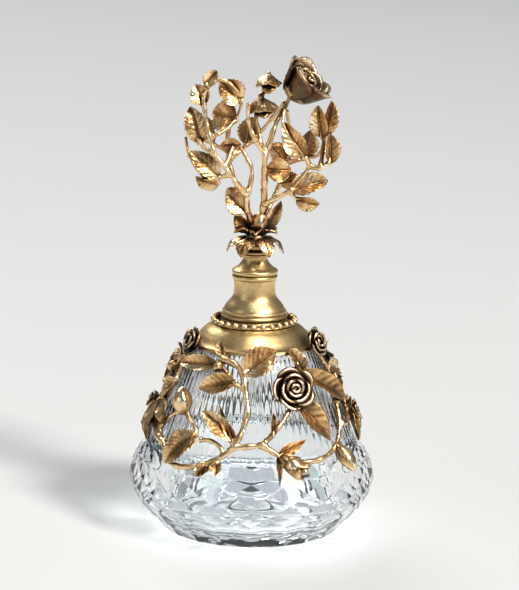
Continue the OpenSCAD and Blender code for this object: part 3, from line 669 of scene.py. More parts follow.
def glass_shape():
    """The bottle's glass: a cut base, three tiers of diamonds, fluted sides and a hollow inside."""
    shape = Shape()
    band_top = 6.0
    half_step = math.cos(TAU / CUT)
    rings = [
        ring_points(1.2, 24.0, CUT),
        ring_points(0.0, 26.5, CUT),
        ring_points(0.0, BASE_R - 1.0, CUT, r_odd=(BASE_R - 1.0) * half_step),
        ring_points(0.7, BASE_R + 0.3, CUT, r_odd=(BASE_R + 0.3) * half_step),
        ring_points(band_top - 0.5, 38.0, CUT, z_odd=band_top + 0.7, r_odd=38.7 * half_step),
        ring_points(band_top - 0.1, 39.2, CUT, z_odd=band_top + 1.1, r_odd=39.9),
    ]
    tiers = [11.0, 15.5, 19.8, 24.2]
    for k, z in enumerate(tiers):
        r = lower_wall_r(z) if z <= girdle_top_z else glass_r(z) - 0.15
        crown, valley = r + 0.3, r - 0.4
        even_r, odd_r = (crown, valley) if k % 2 == 0 else (valley, crown)
        rings.append(ring_points(z, even_r, CUT, r_odd=odd_r))
    arch_low, arch_high = 28.6 - 0.6, 28.6 + 0.6
    rings.append(ring_points(arch_low, glass_r(arch_low) - 0.05, CUT, z_odd=arch_high,
                             r_odd=glass_r(arch_high) - 0.05))
    points = [np.array([[0, 0, 1.2]])] + rings
    faces = [((j + 1) % CUT + 1, j + 1, 0) for j in range(CUT)]
    for i in range(len(rings) - 1):
        for j in range(CUT):
            k = (j + 1) % CUT
            a, b = 1 + i * CUT + j, 1 + i * CUT + k
            c, d = b + CUT, a + CUT
            if i < 4:
                faces.append((a, b, c, d))
            elif (i + j) % 2 == 1:
                faces += [(a, b, d), (b, c, d)]
            else:
                faces += [(a, b, c), (a, c, d)]
    cut_faces = len(faces)
    # Fluted sides: finer rings that start on the last ring of the cut part
    fine = CUT * FLUTE_STEPS
    fine_turn = turns(fine)
    last_cut = rings[-1]
    share = np.arange(fine) % FLUTE_STEPS / FLUTE_STEPS
    left = last_cut[np.arange(fine) // FLUTE_STEPS]
    right = last_cut[(np.arange(fine) // FLUTE_STEPS + 1) % CUT]
    first_fine = left + (right - left) * share[:, None]
    first_fine[:, 2] += 0.25
    fine_rings = [first_fine]
    heights = [29.9, 30.8, 31.8, 33, 34.5, 37, 42, 48, 54, 60, 66, collar_z]
    for z in heights:
        depth = 0.24 * float(ramp(z, 30, 37))
        panel = 0.2 * float(ramp(z, 29, 30.5) * (1 - ramp(z, 31.5, 35)))
        r = glass_r(z) - depth * (0.5 - 0.5 * np.cos(fine_turn * FLUTES)) ** 1.5
        r = r - panel * (0.5 + 0.5 * np.cos(fine_turn * CUT / 2))
        fine_rings.append(plain_ring(r, z, fine_turn))
    neck = [[SHOULDER_TOP_R, shoulder_z], [NECK_R + 1, shoulder_z + 0.6], [NECK_R, shoulder_z + 1.6],
            [NECK_R, rim_z - 0.3], [NECK_R - 0.4, rim_z], [NECK_BORE_R + 0.3, rim_z]]
    # Hollow inside, from the mouth down to the pushed-up floor
    inner_low_r = CONE_LOW_R - GLASS_WALL
    inner_top_z = shoulder_z - GLASS_WALL
    inner = [[NECK_BORE_R, rim_z - 0.3], [NECK_BORE_R, inner_top_z + 1], [NECK_BORE_R + 0.6, inner_top_z]]
    inner += [[SHOULDER_TOP_R - 4.6, inner_top_z - 1.4], [CONE_TOP_R - 4.6, collar_z - 1.5],
              [CONE_TOP_R - 4.4, collar_z - 4]]
    inner += [[cone_r(z) - GLASS_WALL - 0.9, z] for z in (64, 58, 52, 46, 40, 36)]
    for k in range(9):
        a = k / 8 * math.pi / 2
        inner.append([inner_low_r - 5 + 5 * math.cos(a), FLOOR_T + 9 - 9 * math.sin(a)])
    for k in range(13):
        share = 1 - k / 12
        inner.append([max(DOME_R * share, 0.02), FLOOR_T + DOME_H * (1 + math.cos(math.pi * share)) / 2])
    fine_rings += [plain_ring(r, z, fine_turn) for r, z in neck + inner]
    start = 1 + len(rings) * CUT
    base = 1 + (len(rings) - 1) * CUT
    for j in range(CUT):
        a, b = base + j, base + (j + 1) % CUT
        fan = [start + (j * FLUTE_STEPS + k) % fine for k in range(FLUTE_STEPS + 1)]
        faces += [(a, fan[k + 1], fan[k]) for k in range(FLUTE_STEPS)] + [(a, b, fan[-1])]
    faces += grid_faces(len(fine_rings), fine, closed=True, start=start)
    end = start + (len(fine_rings) - 1) * fine
    faces.append(tuple(end + j for j in range(fine)))
    shape.add(np.vstack(points + fine_rings), faces, 0.5)
    return shape, cut_faces


glass, cut_faces = glass_shape()
bottle_piece = add_piece("bottle_glass", glass, "bottle", "clear_glass", ["glass_bottle"])
smooth_flags = np.ones(len(bottle_piece.data.polygons), bool)
smooth_flags[:cut_faces] = False
bottle_piece.data.polygons.foreach_set("use_smooth", smooth_flags)

# ---------------------------------------------------------------- metal neck

BEAD_COUNT = 28


def collar_shape():
    """The bell-shaped collar, with a rolled lower edge and a seat for the beads."""
    shape = Shape()
    top = SHOULDER_TOP_R + SHEET_T
    outside = [[CONE_TOP_R + 0.1, collar_z + 0.05], [CONE_TOP_R + 0.75, collar_z + 0.05],
               [CONE_TOP_R + 0.8, collar_z + 0.5], [CONE_TOP_R + 0.45, collar_z + 1.0]]
    curve = smooth_path([[CONE_TOP_R + 0.3, collar_z + 1.3], [22.7, 74.1], [20.6, 76.2],
                         [18.6, 78.1], [top + 0.3, 79.3]], 5)
    outside += curve.tolist()
    outside += [[top - 0.1, collar_top_z - 0.1], [top - 0.5, collar_top_z], [NECK_R + 1.1, collar_top_z]]
    inside = [[NECK_R + 1.1, collar_top_z - 0.7], [SHOULDER_TOP_R, shoulder_z + 0.05]]
    wear_and_shade = [0.9, 0.95, 0.9, 0.3] + [0.5] * len(curve) + [0.6, 0.3, 0.2, 0.2, 0.2]
    lathe(shape, outside + inside, relief=wear_and_shade)
    return shape


def bead_shape():
    """A ring of cast beads that sit in a shallow gallery."""
    shape = Shape()
    bead_r = (beads_high[2] - beads_low[2]) / 2
    ring_r = beads_high[0] - bead_r
    z0 = (beads_high[2] + beads_low[2]) / 2
    rows, cols = 13, 20
    lat = np.linspace(0.02, math.pi - 0.02, rows)[:, None]
    turn = turns(cols)[None, :]
    for k in range(BEAD_COUNT):
        size = bead_r * (0.97 + 0.03 * math.sin(2.4 * k))
        ball = np.stack([size * np.sin(lat) * np.cos(turn), size * np.sin(lat) * np.sin(turn),
                         -size * np.cos(lat) + 0 * turn], -1).reshape(-1, 3)
        a = TAU * k / BEAD_COUNT
        centre = np.array([ring_r * math.sin(a), -ring_r * math.cos(a), z0])
        radial = np.array([math.sin(a), -math.cos(a), 0])
        wear_and_shade = 0.5 + 0.45 * (ball @ radial) / size
        shape.add(ball + centre, grid_faces(rows, cols, closed=True) + end_caps(rows, cols), wear_and_shade)
    lathe(shape, [[ring_r - 0.9, z0 - 0.95], [ring_r + 0.75, z0 - 0.95], [ring_r + 0.7, z0 - 0.55],
                  [ring_r - 0.1, z0 + 0.1], [ring_r - 0.9, z0 + 0.1]], relief=[0.1, 0.4, 0.3, 0.1, 0.1])
    return shape


def ferrule_shape():
    """The bell-shaped ferrule: a moulded foot, a flare and a waist under a rolled lip."""
    shape = Shape()
    foot = ferrule_high[0]
    waist = NECK_R + 0.6 + SHEET_T
    z = collar_top_z
    outline = [[foot - 0.15, z]] + moulding(z + 0.1, foot - 0.3, foot, 1.6)
    outline += [[foot - 0.5, z + 1.9], [foot - 0.5, z + 2.1]]
    outline += moulding(z + 2.2, foot - 0.45, foot - 0.12, 1.5)
    outline += [[foot - 0.65, z + 3.9]] + moulding(z + 4.0, foot - 0.75, foot - 0.5, 1.3)
    bell = smooth_path([[foot - 1.1, z + 5.5], [foot - 1.55, z + 6.5], [foot - 2.4, z + 7.7],
                        [foot - 3.5, z + 9.0], [waist + 0.55, z + 10.2], [waist + 0.05, z + 12],
                        [waist - 0.05, z + 15], [waist + 0.25, z + 16.8]], 5)
    outline += bell.tolist()
    lip_r = waist + 0.8
    outline += moulding(rim_z + 0.05, waist + 0.25, lip_r, lip_z - rim_z - 0.1)
    inner = [[NECK_BORE_R + 0.3, lip_z], [NECK_BORE_R + 0.3, rim_z], [waist - SHEET_T, rim_z],
             [waist - SHEET_T, z + 12], [foot - 3, z + 7], [foot - SHEET_T - 0.7, z + 4.6],
             [foot - SHEET_T, z]]
    lathe(shape, outline + inner)
    return shape


def pedestal_shape():
    """The stopper's disc and the stepped neck above it."""
    shape = Shape()
    disc_r = pedestal_high[0]
    z, top = disc_z, calyx_z
    outline = [[3.2, z], [disc_r - 0.5, z]] + moulding(z + 0.02, disc_r - 0.25, disc_r, 1.5)
    outline += [[disc_r - 0.75, z + 1.75], [disc_r - 1.0, z + 1.95]]
    neck = smooth_path([[disc_r - 1.6, z + 2.25], [6.5, z + 2.9], [5.6, z + 3.9], [4.95, z + 5.0],
                        [4.75, z + 5.9], [4.9, z + 6.6]], 4)
    outline += neck.tolist()
    outline += moulding(z + 6.75, 4.95, 5.35, 0.9)
    outline += moulding(z + 7.75, 5.0, 5.5, top - z - 7.8)
    outline += [[1.5, top]]
    lathe(shape, outline, cols=96)
    return shape


def calyx_cup_shape():
    shape = Shape()
    h = finial_z - calyx_z
    outside = smooth_path([[3.9, calyx_z], [4.9, calyx_z + 0.12 * h], [5.2, calyx_z + 0.3 * h],
                           [4.9, calyx_z + 0.5 * h], [4.3, calyx_z + 0.68 * h], [3.4, finial_z]], 5)
    lathe(shape, [[1.5, calyx_z], *outside.tolist(), [1.5, finial_z]], cols=64)
    return shape


add_piece("collar", collar_shape(), "bottle", "gilt_sheet", ["shoulder_collar"])
add_piece("collar_beads", bead_shape(), "bottle", "gilt_sheet", ["beaded_ring"])
add_piece("ferrule", ferrule_shape(), "bottle", "gilt_sheet", ["neck_ferrule"])
add_piece("pedestal", pedestal_shape(), "stopper", "gilt_sheet", ["stopper_pedestal"])
add_piece("calyx_turned_cup", calyx_cup_shape(), "stopper", "gilt_sheet", ["calyx_cup"])

# ---------------------------------------------------------------- jacket

PATTERN_LOW_Z = 34
PATTERN_HIGH_Z = 72


def jacket_place(p, more=0.0):
    """The point at [degrees from -Y, height on the pattern, lift off the glass], and more lift."""
    z = mix(cone_low_z, collar_z, (p[1] - PATTERN_LOW_Z) / (PATTERN_HIGH_Z - PATTERN_LOW_Z))
    r = glass_r(z) + JACKET_GAP + VINE_R + (p[2] if len(p) > 2 else 0) + more
    a = math.radians(p[0])
    return np.array([r * math.sin(a), -r * math.cos(a), z])


def jacket_out(degrees):
    """The direction straight out of the cone, at an angle in degrees from -Y."""
    a = math.radians(degrees)
    level = math.cos(cone_lean)
    return np.array([math.sin(a) * level, -math.cos(a) * level, math.sin(cone_lean)])


JACKET_VINES = [
    # Long vine from the collar down the middle and round to the left
    ([[-27, 71], [-15, 69.5], [-8, 66], [-5, 60], [-3, 53], [-5, 48], [-8, 43], [-13, 38.5],
      [-24, 34], [-36, 32], [-47, 33], [-56, 38]], 1),
    # Vine round the left edge
    ([[-56, 38], [-66, 40], [-76, 44], [-84, 50], [-86, 57], [-80, 64], [-70, 69], [-56, 68]], 1),
    # Vine from the top bud to the upper left leaf
    ([[-40, 68], [-30, 69], [-22, 67], [-14, 63], [-7, 61]], 0.8),
    # Fork under the large rose
    ([[-11.5, 40.5], [-3, 41], [6, 42], [13, 46], [20, 50.5], [26, 55], [30, 61], [36, 67], [38, 72]], 0.9),
    ([[5, 42], [12, 39], [20, 36], [28, 35], [38, 35], [48, 37], [57, 41], [63, 46], [67, 52]], 0.9),
    # Vines on the right edge
    ([[67, 52], [74, 58], [74, 65], [66, 71]], 0.8),
    ([[62, 45], [72, 44], [82, 47], [90, 51], [95, 57]], 0.8),
    # Twigs that thicken the left edge
    ([[-60, 39], [-70, 46], [-72, 54], [-66, 60]], 0.8),
    ([[-86, 57], [-76, 56], [-68, 62], [-70, 69]], 0.8),
    # Stem of the left tulip bud and the tendrils
    ([[-47, 52], [-40, 48], [-34, 45], [-34, 41]], 0.8),
    ([[-66, 40], [-60, 46], [-54, 49], [-47, 50], [-40, 48]], 0.7),
    ([[-30, 42], [-22, 42], [-16, 39], [-18, 34]], 0.7),
]

# Leaves: base, tip, width, and what differs from a plain leaf
JACKET_LEAVES = [
    ([-27, 69, 1], [-62, 67, 1], 6.5, {"veins": 8}),
    ([-24, 71, 1], [-31, 77, 1], 4.2, {"veins": 4}),
    ([-7, 66.5, 0.5], [18, 75, 1], 11, {"veins": 7, "fold": 0.5}),
    ([40, 66, 0.5], [31, 75, 1], 6.5, {"veins": 5, "fold": 0.55}),
    ([-12, 63.5, 0.5], [-38, 60, 0.5], 8.2, {"veins": 7, "fold": 0.55}),
    ([36, 66, 0.5], [72, 53, 0.5], 8.5, {"veins": 8, "fold": 0.55}),
    ([28, 57, 0], [47, 41, 0.5], 9.2, {"veins": 7, "fold": 0.5, "wave": 0.18}),
    ([-9, 43.5, 0.5], [-31, 52.5, 1], 7, {"veins": 8, "fold": 0.55}),
    ([-11, 42, 1], [-21, 55, 1], 2.5, {"veins": 3, "fold": 0.7}),
    ([-33, 44, 0.5], [-47, 32, 0.5], 11,
     {"veins": 9, "teeth": 9, "relief_h": 0.26, "fold": 0.2, "bow": 0.12}),
    ([12, 45, 1], [13, 53, 1], 2.5, {"veins": 3, "fold": 0.7}),
    ([-18, 35, 0.5], [-17, 31, 0.5], 5, {"veins": 3}),
    ([-22, 34, 0.5], [-27, 30, 0.5], 5, {"veins": 3}),
    ([14, 38, 1], [31, 43, 1], 4.5, {"veins": 4, "fold": 0.65, "point": 1.2}),
    ([14, 38, 1], [13, 28, 0.5], 2.6, {"veins": 3, "fold": 0.7, "point": 1.2}),
    ([-84, 50, 0.5], [-72, 36, 0.5], 9, {"veins": 6}),
    ([-70, 52, 1], [-60, 44, 0.5], 7, {"veins": 6}),
    ([-66, 60, 1], [-75, 52, 1], 7.5, {"veins": 6}),
    ([-84, 62, 0.5], [-74, 57, 1], 6.5, {"veins": 5}),
    ([-76, 67, 0.5], [-92, 70, 0.5], 7, {"veins": 5}),
    ([74, 65, 0.5], [93, 62, 1], 7, {"veins": 5}),
    ([84, 47, 0.5], [80, 36, 0.5], 7, {"veins": 5}),
]


def jacket_leaf(shape, start, tip, width, more):
    bow = CONE_LOW_R * (1 - math.cos(math.radians(tip[0] - start[0]) / 2))
    a = jacket_place(start, 0.4 * bow)
    b = jacket_place(tip, 1.2 * bow)
    out = jacket_out((start[0] + tip[0]) / 2)
    length = np.linalg.norm(b - a)
    style = {"bow": 0.03 + 0.5 * bow / length, "seed": start[0] * 0.3 + start[1]}
    style.update(more)
    leaf(shape, a, b, out, width, **style)


def petiole(shape, lines, base, tip, radius):
    """The short stalk from the nearest vine to the base of a leaf and a little way up its midrib."""
    near = min((line[np.argmin(np.linalg.norm(line - base, axis=1))] for line in lines),
               key=lambda p: np.linalg.norm(p - base))
    reach = base + 0.22 * (tip - base)
    if np.linalg.norm(near - base) < radius:
        route = [base, mix(base, reach, 0.5), reach]
    else:
        route = [near, mix(near, base, 0.6), base, reach]
    tube(shape, smooth_path(route, 4), radius, radius * 0.45, flare=0.8, sides=8)


def jacket_vines_shape():
    shape = Shape()
    lines = []
    for path, thickness in JACKET_VINES:
        padded = [list(p) + [0] * (3 - len(p)) for p in path]
        points = np.array([jacket_place(p) for p in smooth_path(padded, 6)])
        lines.append(points)
        tube(shape, points, VINE_R * thickness, VINE_R * thickness * 0.85)
        for k in range(5, len(points) - 4, 9):
            side = unit(np.cross(points[k + 1] - points[k], jacket_out(padded[0][0])))
            swing = 1 if k % 2 else -1
            thorn(shape, points[k] + 0.8 * VINE_R * thickness * swing * side, swing * side, 0.6)
    for start, tip, width, _ in JACKET_LEAVES:
        petiole(shape, lines, jacket_place(start), jacket_place(tip), 0.4 + 0.05 * width)
    return shape


def jacket_leaves_shape():
    shape = Shape()
    for start, tip, width, more in JACKET_LEAVES:
        jacket_leaf(shape, start, tip, width, more)
    return shape


def jacket_buds_shape():
    """Berries and buds, the tulip, and spread sepals on the hanging bud and the left bud."""
    shape = Shape()
    bud(shape, jacket_place([-31, 69, 1]), jacket_place([-24, 67, 1]), 4.4, seed=0.3)
    bud(shape, jacket_place([52, 38.5, 0.8]), jacket_place([54, 29.5, 2.2]), 5.6, petals=5, twist=0.2)
    bud(shape, jacket_place([-45.5, 49.5, 0.8]), jacket_place([-51, 59.5, 2.6]), 7.4, petals=3, twist=0.1)
    bud(shape, jacket_place([-80, 65, 1]), jacket_place([-84, 61, 1]), 5, seed=0.6)
    start, end = jacket_place([15, 37.2, 1.2]), jacket_place([26, 31.6, 3.6])
    bud(shape, mix(start, end, 0.12), mix(start, end, 0.9), 7, petals=3, twist=0.2, seed=0.7)
    tulip = frame_from(start, end - start, [0, -1, 0.4])
    tulip_rings = [(3, 1.0, 0.86, 0.0), (3, 0.88, 0.96, 0.0)]
    rose(shape, tulip, 3.9, np.linalg.norm(end - start), tulip_rings, seed=0.4)
    # Sepals on the hanging bud and on the left bud
    for a, b, seed in (([52, 39, 0.8], [54, 30, 2.2], 0.2), ([-45.5, 49.5, 0.8], [-51, 58.5, 2.4], 1.1)):
        p, q = jacket_place(a), jacket_place(b)
        sepals(shape, frame_from(p, q - p, [0.1, -1, 0.2]), 4, 1.6, 4.2, 1.7, 1.15, seed)
    return shape


for side, angle in (("front", 0.0), ("back", math.pi)):
    node = ["jacket_" + side]
    for part, made, fuse in (("vines", jacket_vines_shape(), 0.32), ("leaves", jacket_leaves_shape(), 0),
                             ("buds", jacket_buds_shape(), 0)):
        add_piece(f"jacket_{side}_{part}", made.turned(angle), "bottle", "gilt_cast", node, fuse=fuse)

# ---------------------------------------------------------------- roses on the jacket

OPEN_RINGS = [(5, 0.96, 0.62, 0.07), (3, 0.68, 0.88, 0.05), (3, 0.44, 1.0, 0.03), (2, 0.24, 1.04, 0.0)]
SMALL_RINGS = [(5, 0.98, 0.7, 0.05), (4, 0.72, 0.92, 0.0), (3, 0.45, 1.0, 0.0)]


def jacket_rose(place, face_turn, r, h, rings, half_turn, seed):
    shape = Shape()
    axis = jacket_out(place[0] + face_turn)
    rose(shape, frame_from(jacket_place(place), axis, [0, 0, 1]), r, h, rings, seed=seed)
    return shape.turned(half_turn)


for k, side in enumerate(("front", "back")):
    node = "large_rose_" + side
    made = jacket_rose([29, 60, -0.4], -12, 8.4, 5, OPEN_RINGS, k * math.pi, 0.5)
    add_piece("open_" + node, made, "bottle", "gilt_rose", [node])
    node = f"side_rose_{k + 1}"
    made = jacket_rose([86, 47, 0.2], 0, 4.4, 4, SMALL_RINGS, k * math.pi, 0.9)
    add_piece("open_" + node, made, "bottle", "gilt_rose", [node])
for k, place in enumerate(([-61, 74, -1], [64, 74, -1], [180, 74, -1])):
    node = f"top_rose_{k + 1}"
    made = jacket_rose(place, 0, 5.8, 5, SMALL_RINGS, 0, 0.2 + k)
    add_piece("open_" + node, made, "bottle", "gilt_rose", [node])

# ---------------------------------------------------------------- stopper


def dauber_shape():
    shape = Shape()
    """The glass plug, its thin rod and the rounded tip."""
    tip_r, tip_h, rod_r, boss_r = 3, 3.2, 2.2, 3.1
    plug_r, top = dauber_high[0], dauber_high[2]
    ball = [[max(tip_r * math.sin(a), 0.02), tip_z + tip_h - tip_h * math.cos(a)]
            for a in np.linspace(0, 1.75, 12)]
    rod = smooth_path([[2.8, tip_z + 4.6], [2.35, tip_z + 6.6], [rod_r, tip_z + 8.5]], 4)
    shank = [[rod_r, rim_z - 14], [rod_r, rim_z - 13], [rod_r + 0.5, rim_z - 12],
             [plug_r - 0.3, rim_z - 11.2], [plug_r, rim_z - 10.6], [plug_r, lip_z],
             [boss_r, lip_z], [boss_r, top], [0.02, top]]
    lathe(shape, ball + rod.tolist() + shank, cols=64)
    return shape


def calyx_leaves_shape():
    """Six leaves that spill over the edge of the calyx cup."""
    shape = Shape()
    count = 6
    for k in range(count):
        a = TAU * (k + 0.5) / count
        away = np.array([math.sin(a), -math.cos(a), 0])
        seed = 1.3 * k
        base = np.array([0, 0, finial_z - 0.6]) + 3.6 * away
        tip = np.array([0, 0, calyx_z - 0.9 - 0.5 * math.sin(2 * seed)]) + 11 * away
        leaf(shape, base, tip, away * 0.55 + [0, 0, 1], 7.4,
             fold=-0.22, bow=0.2, veins=6, wave=0.15, seed=seed)
        b = a + TAU / count / 2
        away = np.array([math.sin(b), -math.cos(b), 0])
        base = np.array([0, 0, finial_z + 0.2]) + 2.6 * away
        tip = np.array([0, 0, finial_z + 1.6]) + 9.4 * away
        leaf(shape, base, tip, away * -0.1 + [0, 0, 1], 5, fold=0.3, bow=0.18, veins=4, seed=seed + 2)
    return shape


add_piece("dauber_rod", dauber_shape(), "stopper", "dauber_glass", ["dauber"])
add_piece("calyx_spread_leaves", calyx_leaves_shape(), "stopper", "gilt_cast", ["calyx_leaves"])

# ---------------------------------------------------------------- finial

FRONT = [0, -1, 0]


def finial_place(p):
    """The point at [x, y, height above the calyx cup]."""
    return np.array([0, 0, finial_z]) + vec(p)


STEM_VINES = [
    ([[0, 0, -1], [2, -1, 5], [3, -2, 12], [3, -3, 20], [3, -4, 26], [3, -5, 31]], 1.6),
    ([[3, -5, 31], [0, -6, 36], [-2.5, -6, 41], [-3.5, -6, 46], [-3.5, -6, 51]], 1),
    ([[3, -5, 31], [4.5, -4, 35], [6, -3, 40], [8, -1, 45], [10.5, 1, 49], [12.3, 1.1, 53]], 1.1),
    ([[2, -5, 33], [0.5, -4, 40], [-0.5, -4, 46], [1.5, -1, 52], [4, 1, 59]], 0.9),
    ([[0, 0, 1], [-2, -2, 5], [-3.5, -4, 10], [-3.5, -6, 16]], 1.1),
]
STEM_LEAVES = [
    ([1, -1, 53], [2.5, -8.5, 48.5], [0, -0.7, 0.7], 11, {"fold": -0.7, "veins": 4}),
    ([2, -2, 51], [2.5, -7, 45.5], [0, -1, 0.1], 7, {"fold": -0.5, "veins": 3}),
    ([4, 1, 61.5], [4, -6.5, 58.5], [0, -0.7, 0.7], 9.5, {"fold": -0.7, "veins": 4}),
    ([4, -1, 60], [4, -5.5, 54.5], [0, -1, 0.1], 6, {"fold": -0.5, "veins": 3}),
    ([3, -1, 2], [9.5, -1, 13], [0.3, -1, 0], 5.4, {"fold": 0.65}),
    ([-2, -1, 2], [-8, -3, 8], [-0.3, -1, 0], 6.5, {"fold": 0.65}),
    ([-3, -3.5, 9], [-11, -1, 15], [0.2, -1, 0], 9, {"fold": 0.5}),
    ([3.5, -3.5, 25], [13, -2, 25], [0, -1, 0.2], 9.5, {"fold": 0.65, "veins": 8, "relief_h": 0.22}),
]
LEFT_VINES = [
    ([[-3.5, -6, 16], [-8, -8, 21.5], [-12, -8, 27], [-15.5, -8, 31.5], [-17.5, -7, 37],
      [-19, -6, 43], [-20, -5, 49], [-20.5, -4, 53]], 1.1),
    ([[-3.5, -6, 16], [-2, -5, 21], [-2, -4, 26], [-4, -3, 30], [-6.5, -2, 34]], 1),
    ([[-12, -8, 27], [-10.5, -6, 30], [-9, -3, 34]], 0.9),
    ([[-15.5, -8, 31], [-20, -6, 34], [-23, -3, 37]], 0.9),
    ([[-10, -8, 24], [-18, -6, 22], [-23, -4, 26], [-26, -2, 32], [-27, -1, 37]], 0.9),
    ([[-17, -7, 38], [-12, -3, 40], [-8, 1, 44], [-6, 1, 50]], 0.8),
    ([[-20.5, -4, 53], [-17, -3, 58], [-12, -2, 58.5], [-7, -1, 54]], 0.9),
]
LEFT_LEAVES = [
    ([-21, -3, 35], [-25.3, -1, 48.5], FRONT, 8.5, {"teeth": 7, "relief_h": 0.24}),
    ([-14, -7, 22.5], [-25, -4, 32], [0.2, -1, 0.2], 8, {"fold": 0.2, "relief_h": 0.24, "teeth": 6}),
    ([-14, -6, 20], [-23, -3, 22], [0.1, -0.8, -0.6], 6.5, {"fold": 0.5}),
    ([-20, -4, 49.5], [-23.5, -2, 57], FRONT, 7.5, {"wave": 0.25}),
    ([-20, -4, 57], [-15.5, -3, 62.5], FRONT, 5.5, {}),
    ([-6, 0.5, 50.5], [-14.5, 1, 57.5], [0, -1, 0.3], 10, {"fold": 0.55, "veins": 8, "relief_h": 0.22}),
    ([-8, 1.5, 43], [-17, 4, 46], [0, -1, 0.2], 12, {"fold": 0.45}),
    ([-6, -2, 34], [-14, -2, 34], FRONT, 6.5, {"fold": 0.35}),
]
RIGHT_VINES = [
    ([[3, -3, 12], [8, -5, 15], [13, -6, 18.5], [17, -5, 23], [20, -4, 27]], 1),
    ([[20, -4, 27], [24, -5, 26.5], [27, -4, 29]], 0.9),
    ([[20, -4, 27], [18, -5, 31], [12, -5, 38], [9.5, -4, 44], [10.5, -1, 49]], 0.9),
    ([[24, -4, 27], [25, -1, 34], [25, 1, 41], [24, 2, 47]], 0.9),
]
RIGHT_LEAVES = [
    ([18, -5, 30], [10, -4, 43.5], [-0.3, -1, 0.2], 8.5, {"fold": 0.55, "veins": 8}),
    ([24, -3, 38], [22.5, -3, 50], [-0.2, -1, 0], 7, {"fold": 0.55}),
    ([25, -1, 38], [28, 0, 51.5], [0.4, -1, 0], 6.5, {"fold": 0.55}),
    ([27.5, -4, 28], [27, -2, 39.5], [0.5, -1, 0], 6.5, {"fold": 0.65}),
    ([13, -6, 18], [27, -3, 21.5], [0, -1, 0.6], 9, {"fold": 0.5, "wave": 0.2}),
    ([15, -6, 15], [24, -3, 12.5], [0, -1, -0.5], 6.5, {"fold": 0.5}),
]
BACK_VINES = [
    ([[0, 0, 1], [-3, 5, 8], [-8, 9, 18], [-11, 11, 28], [-11, 10, 38], [-8, 5, 44]], 1.1),
    ([[1, 1, 2], [5, 6, 9], [9, 10, 18], [12, 11, 28], [12, 9, 39], [11, 4, 47]], 1.1),
    ([[-10, 11, 27], [-4, 13, 32], [2, 13, 38], [7, 10, 45], [10, 4, 50]], 1),
    ([[-11, 11, 30], [-17, 8, 33], [-21, 3, 37], [-21, -3, 38]], 0.9),
    ([[12, 11, 26], [18, 8, 28], [23, 3, 30], [25, -1, 34]], 0.9),
]
BACK_LEAVES = [
    ([-4, 4, 9], [-11, 3, 17], [-0.3, 1, 0], 8, {}),
    ([11, 11, 26], [5, 10, 33], [0.2, 1, 0], 8, {}),
    ([-4, 13, 32], [-2, 13, 43], [0, 1, 0.2], 9, {"veins": 8}),
    ([-17, 8, 33], [-20, 6, 44], [-0.5, 1, 0], 7.5, {}),
    ([18, 8, 28], [20, 7, 39], [0.5, 1, 0], 7.5, {}),
    ([9, 10, 18], [17, 8, 20], [0.3, 1, 0], 7, {}),
]


def finial_vines_shape(vines, leaves):
    shape = Shape()
    lines = []
    for path, thickness in vines:
        points = np.array([finial_place(p) for p in smooth_path(path, 6)])
        lines.append(points)
        tube(shape, points, BRANCH_R * thickness, BRANCH_R * thickness * 0.8)
        for k in range(6, len(points) - 5, 10):
            side = unit(np.cross(points[k + 1] - points[k], [0.1, -1, 0.1]))
            swing = 1 if k % 2 else -1
            thorn(shape, points[k] + 0.8 * BRANCH_R * thickness * swing * side, swing * side, 0.5)
    for start, tip, _, width, _ in leaves:
        petiole(shape, lines, finial_place(start), finial_place(tip), 0.4 + 0.05 * width)
    return shape


def finial_leaves_shape(leaves):
    shape = Shape()
    for start, tip, facing, width, more in leaves:
        style = {"seed": start[0] + start[2], "bow": 0.07}
        style.update(more)
        leaf(shape, finial_place(start), finial_place(tip), facing, width, **style)
    return shape


for side, vines, leaves in (("stem", STEM_VINES, STEM_LEAVES), ("left_spray", LEFT_VINES, LEFT_LEAVES),
                            ("right_spray", RIGHT_VINES, RIGHT_LEAVES),
                            ("back_spray", BACK_VINES, BACK_LEAVES)):
    node = ["finial_" + side]
    made = finial_vines_shape(vines, leaves)
    add_piece(f"finial_{side}_vines", made, "stopper", "gilt_cast", node, fuse=0.3)
    add_piece(f"finial_{side}_leaves", finial_leaves_shape(leaves), "stopper", "gilt_cast", node)
foot_bud = Shape()
bud(foot_bud, finial_place([-0.2, 0, 0.2]), finial_place([3.2, -1.4, 8.6]), 7.2, petals=4, twist=0.3)
add_piece("finial_foot_bud", foot_bud, "stopper", "gilt_cast", ["finial_stem"])

CROWN_RINGS = [(5, 1.0, 0.98, 0.05), (4, 0.8, 0.9, 0.02), (3, 0.55, 0.84, 0.0), (2, 0.32, 0.86, 0.0)]
CROWN_BASE = [12.5, 1, 53.2]
CROWN_AXIS = [0.69, -0.2, 0.69]
CROWN_R = 10.3
CROWN_H = 12
crown_place = frame_from(finial_place(CROWN_BASE), CROWN_AXIS, [-0.4, 0, 1])
crown = Shape()
rose(crown, crown_place, CROWN_R, CROWN_H, CROWN_RINGS, heart=0.12, seed=0.35, back=0.45)
sepals(crown, crown_place, 5, 5.0, 6.5, 3.2, 0.75, 0.6)
add_piece("finial_open_rose", crown, "stopper", "gilt_rose", ["finial_rose"])

# ---------------------------------------------------------------- CAD nodes that stay

for node, slot in (("neck_cement", "cement"), ("seal_sleeve", "sleeve"), ("threaded_stud", "stud_brass")):
    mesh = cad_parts[node].data
    mesh.materials.clear()
    mesh.materials.append(MATERIALS[slot])

# ---------------------------------------------------------------- floor, light and camera


def add_floor():
    mesh = bpy.data.meshes.new("floor")
    size = 12.0
    corners = [(-size, -size, 0), (size, -size, 0), (size, size, 0), (-size, size, 0)]
    mesh.from_pydata(corners, [], [(0, 1, 2, 3)])
    floor = bpy.data.objects.new("floor", mesh)
    bpy.context.scene.collection.objects.link(floor)
    mesh.materials.append(matte("pale_floor", (0.62, 0.63, 0.635), 0.02, 0.6, scale=3))


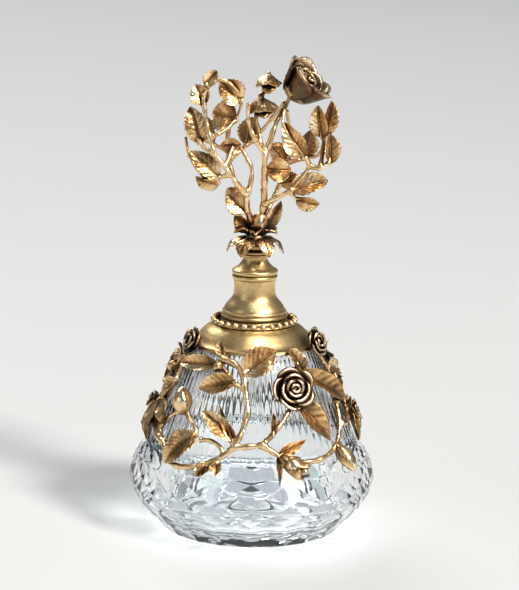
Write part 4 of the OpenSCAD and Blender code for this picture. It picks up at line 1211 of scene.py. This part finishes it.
def add_softbox(name, place, target, size, watts, colour=(1, 1, 1)):
    lamp = bpy.data.lights.new(name, "AREA")
    lamp.shape = "RECTANGLE"
    lamp.size, lamp.size_y = size
    lamp.energy = watts
    lamp.color = colour
    made = bpy.data.objects.new(name, lamp)
    _, axes = frame_from(place, vec(place) - vec(target), [0, 0, 1])
    made.matrix_world = Matrix.Translation(place) @ Matrix(axes.T.tolist()).to_4x4()
    bpy.context.scene.collection.objects.link(made)


def add_world():
    """A pale surround. The metal reflects a dimmer one, as it would in a darkened studio."""
    world = bpy.data.worlds.new("studio")
    world.use_nodes = True
    tree = world.node_tree
    background = tree.nodes["Background"]
    background.inputs["Color"].default_value = (0.9, 0.95, 1.0, 1)
    path = tree.nodes.new("ShaderNodeLightPath")
    seen = math_node(tree, "MAXIMUM", path.outputs["Is Camera Ray"], path.outputs["Is Transmission Ray"])
    strength = math_node(tree, "ADD", math_node(tree, "MULTIPLY", seen, 0.46), 0.16)
    tree.links.new(strength, background.inputs["Strength"])
    bpy.context.scene.world = world


def add_camera():
    """The camera looks along +Y and down, 0.3 m above the floor and 1 m in front of the bottle."""
    pitch, roll = math.radians(11.83), math.radians(1.0)
    forward = np.array([0, math.cos(pitch), -math.sin(pitch)])
    right, up = np.array([1.0, 0, 0]), np.array([0, math.sin(pitch), math.cos(pitch)])
    rolled_right = math.cos(roll) * right + math.sin(roll) * up
    rolled_up = -math.sin(roll) * right + math.cos(roll) * up
    camera = bpy.data.cameras.new("camera")
    camera.sensor_width = 36
    camera.lens = 163.3
    made = bpy.data.objects.new("camera", camera)
    axes = np.stack([rolled_right, rolled_up, -forward], 1)
    made.matrix_world = Matrix.Translation((0.0019, -1.0, 0.3)) @ Matrix(axes.tolist()).to_4x4()
    bpy.context.scene.collection.objects.link(made)
    bpy.context.scene.camera = made


add_floor()
add_world()
middle = (0, 0, 0.09)
add_softbox("key", (2.1, -2.0, 2.6), middle, (0.7, 0.7), 170, (1, 0.96, 0.9))
add_softbox("top", (0.5, -0.7, 3.4), middle, (0.5, 0.5), 40, (1, 0.98, 0.95))
add_softbox("fill", (-2.8, -1.6, 1.3), middle, (1.0, 1.8), 12, (0.9, 0.95, 1))
add_softbox("back", (-1.2, 2.8, 2.4), middle, (2.2, 0.9), 50)
bpy.context.scene.view_settings.view_transform = "Standard"
add_camera()
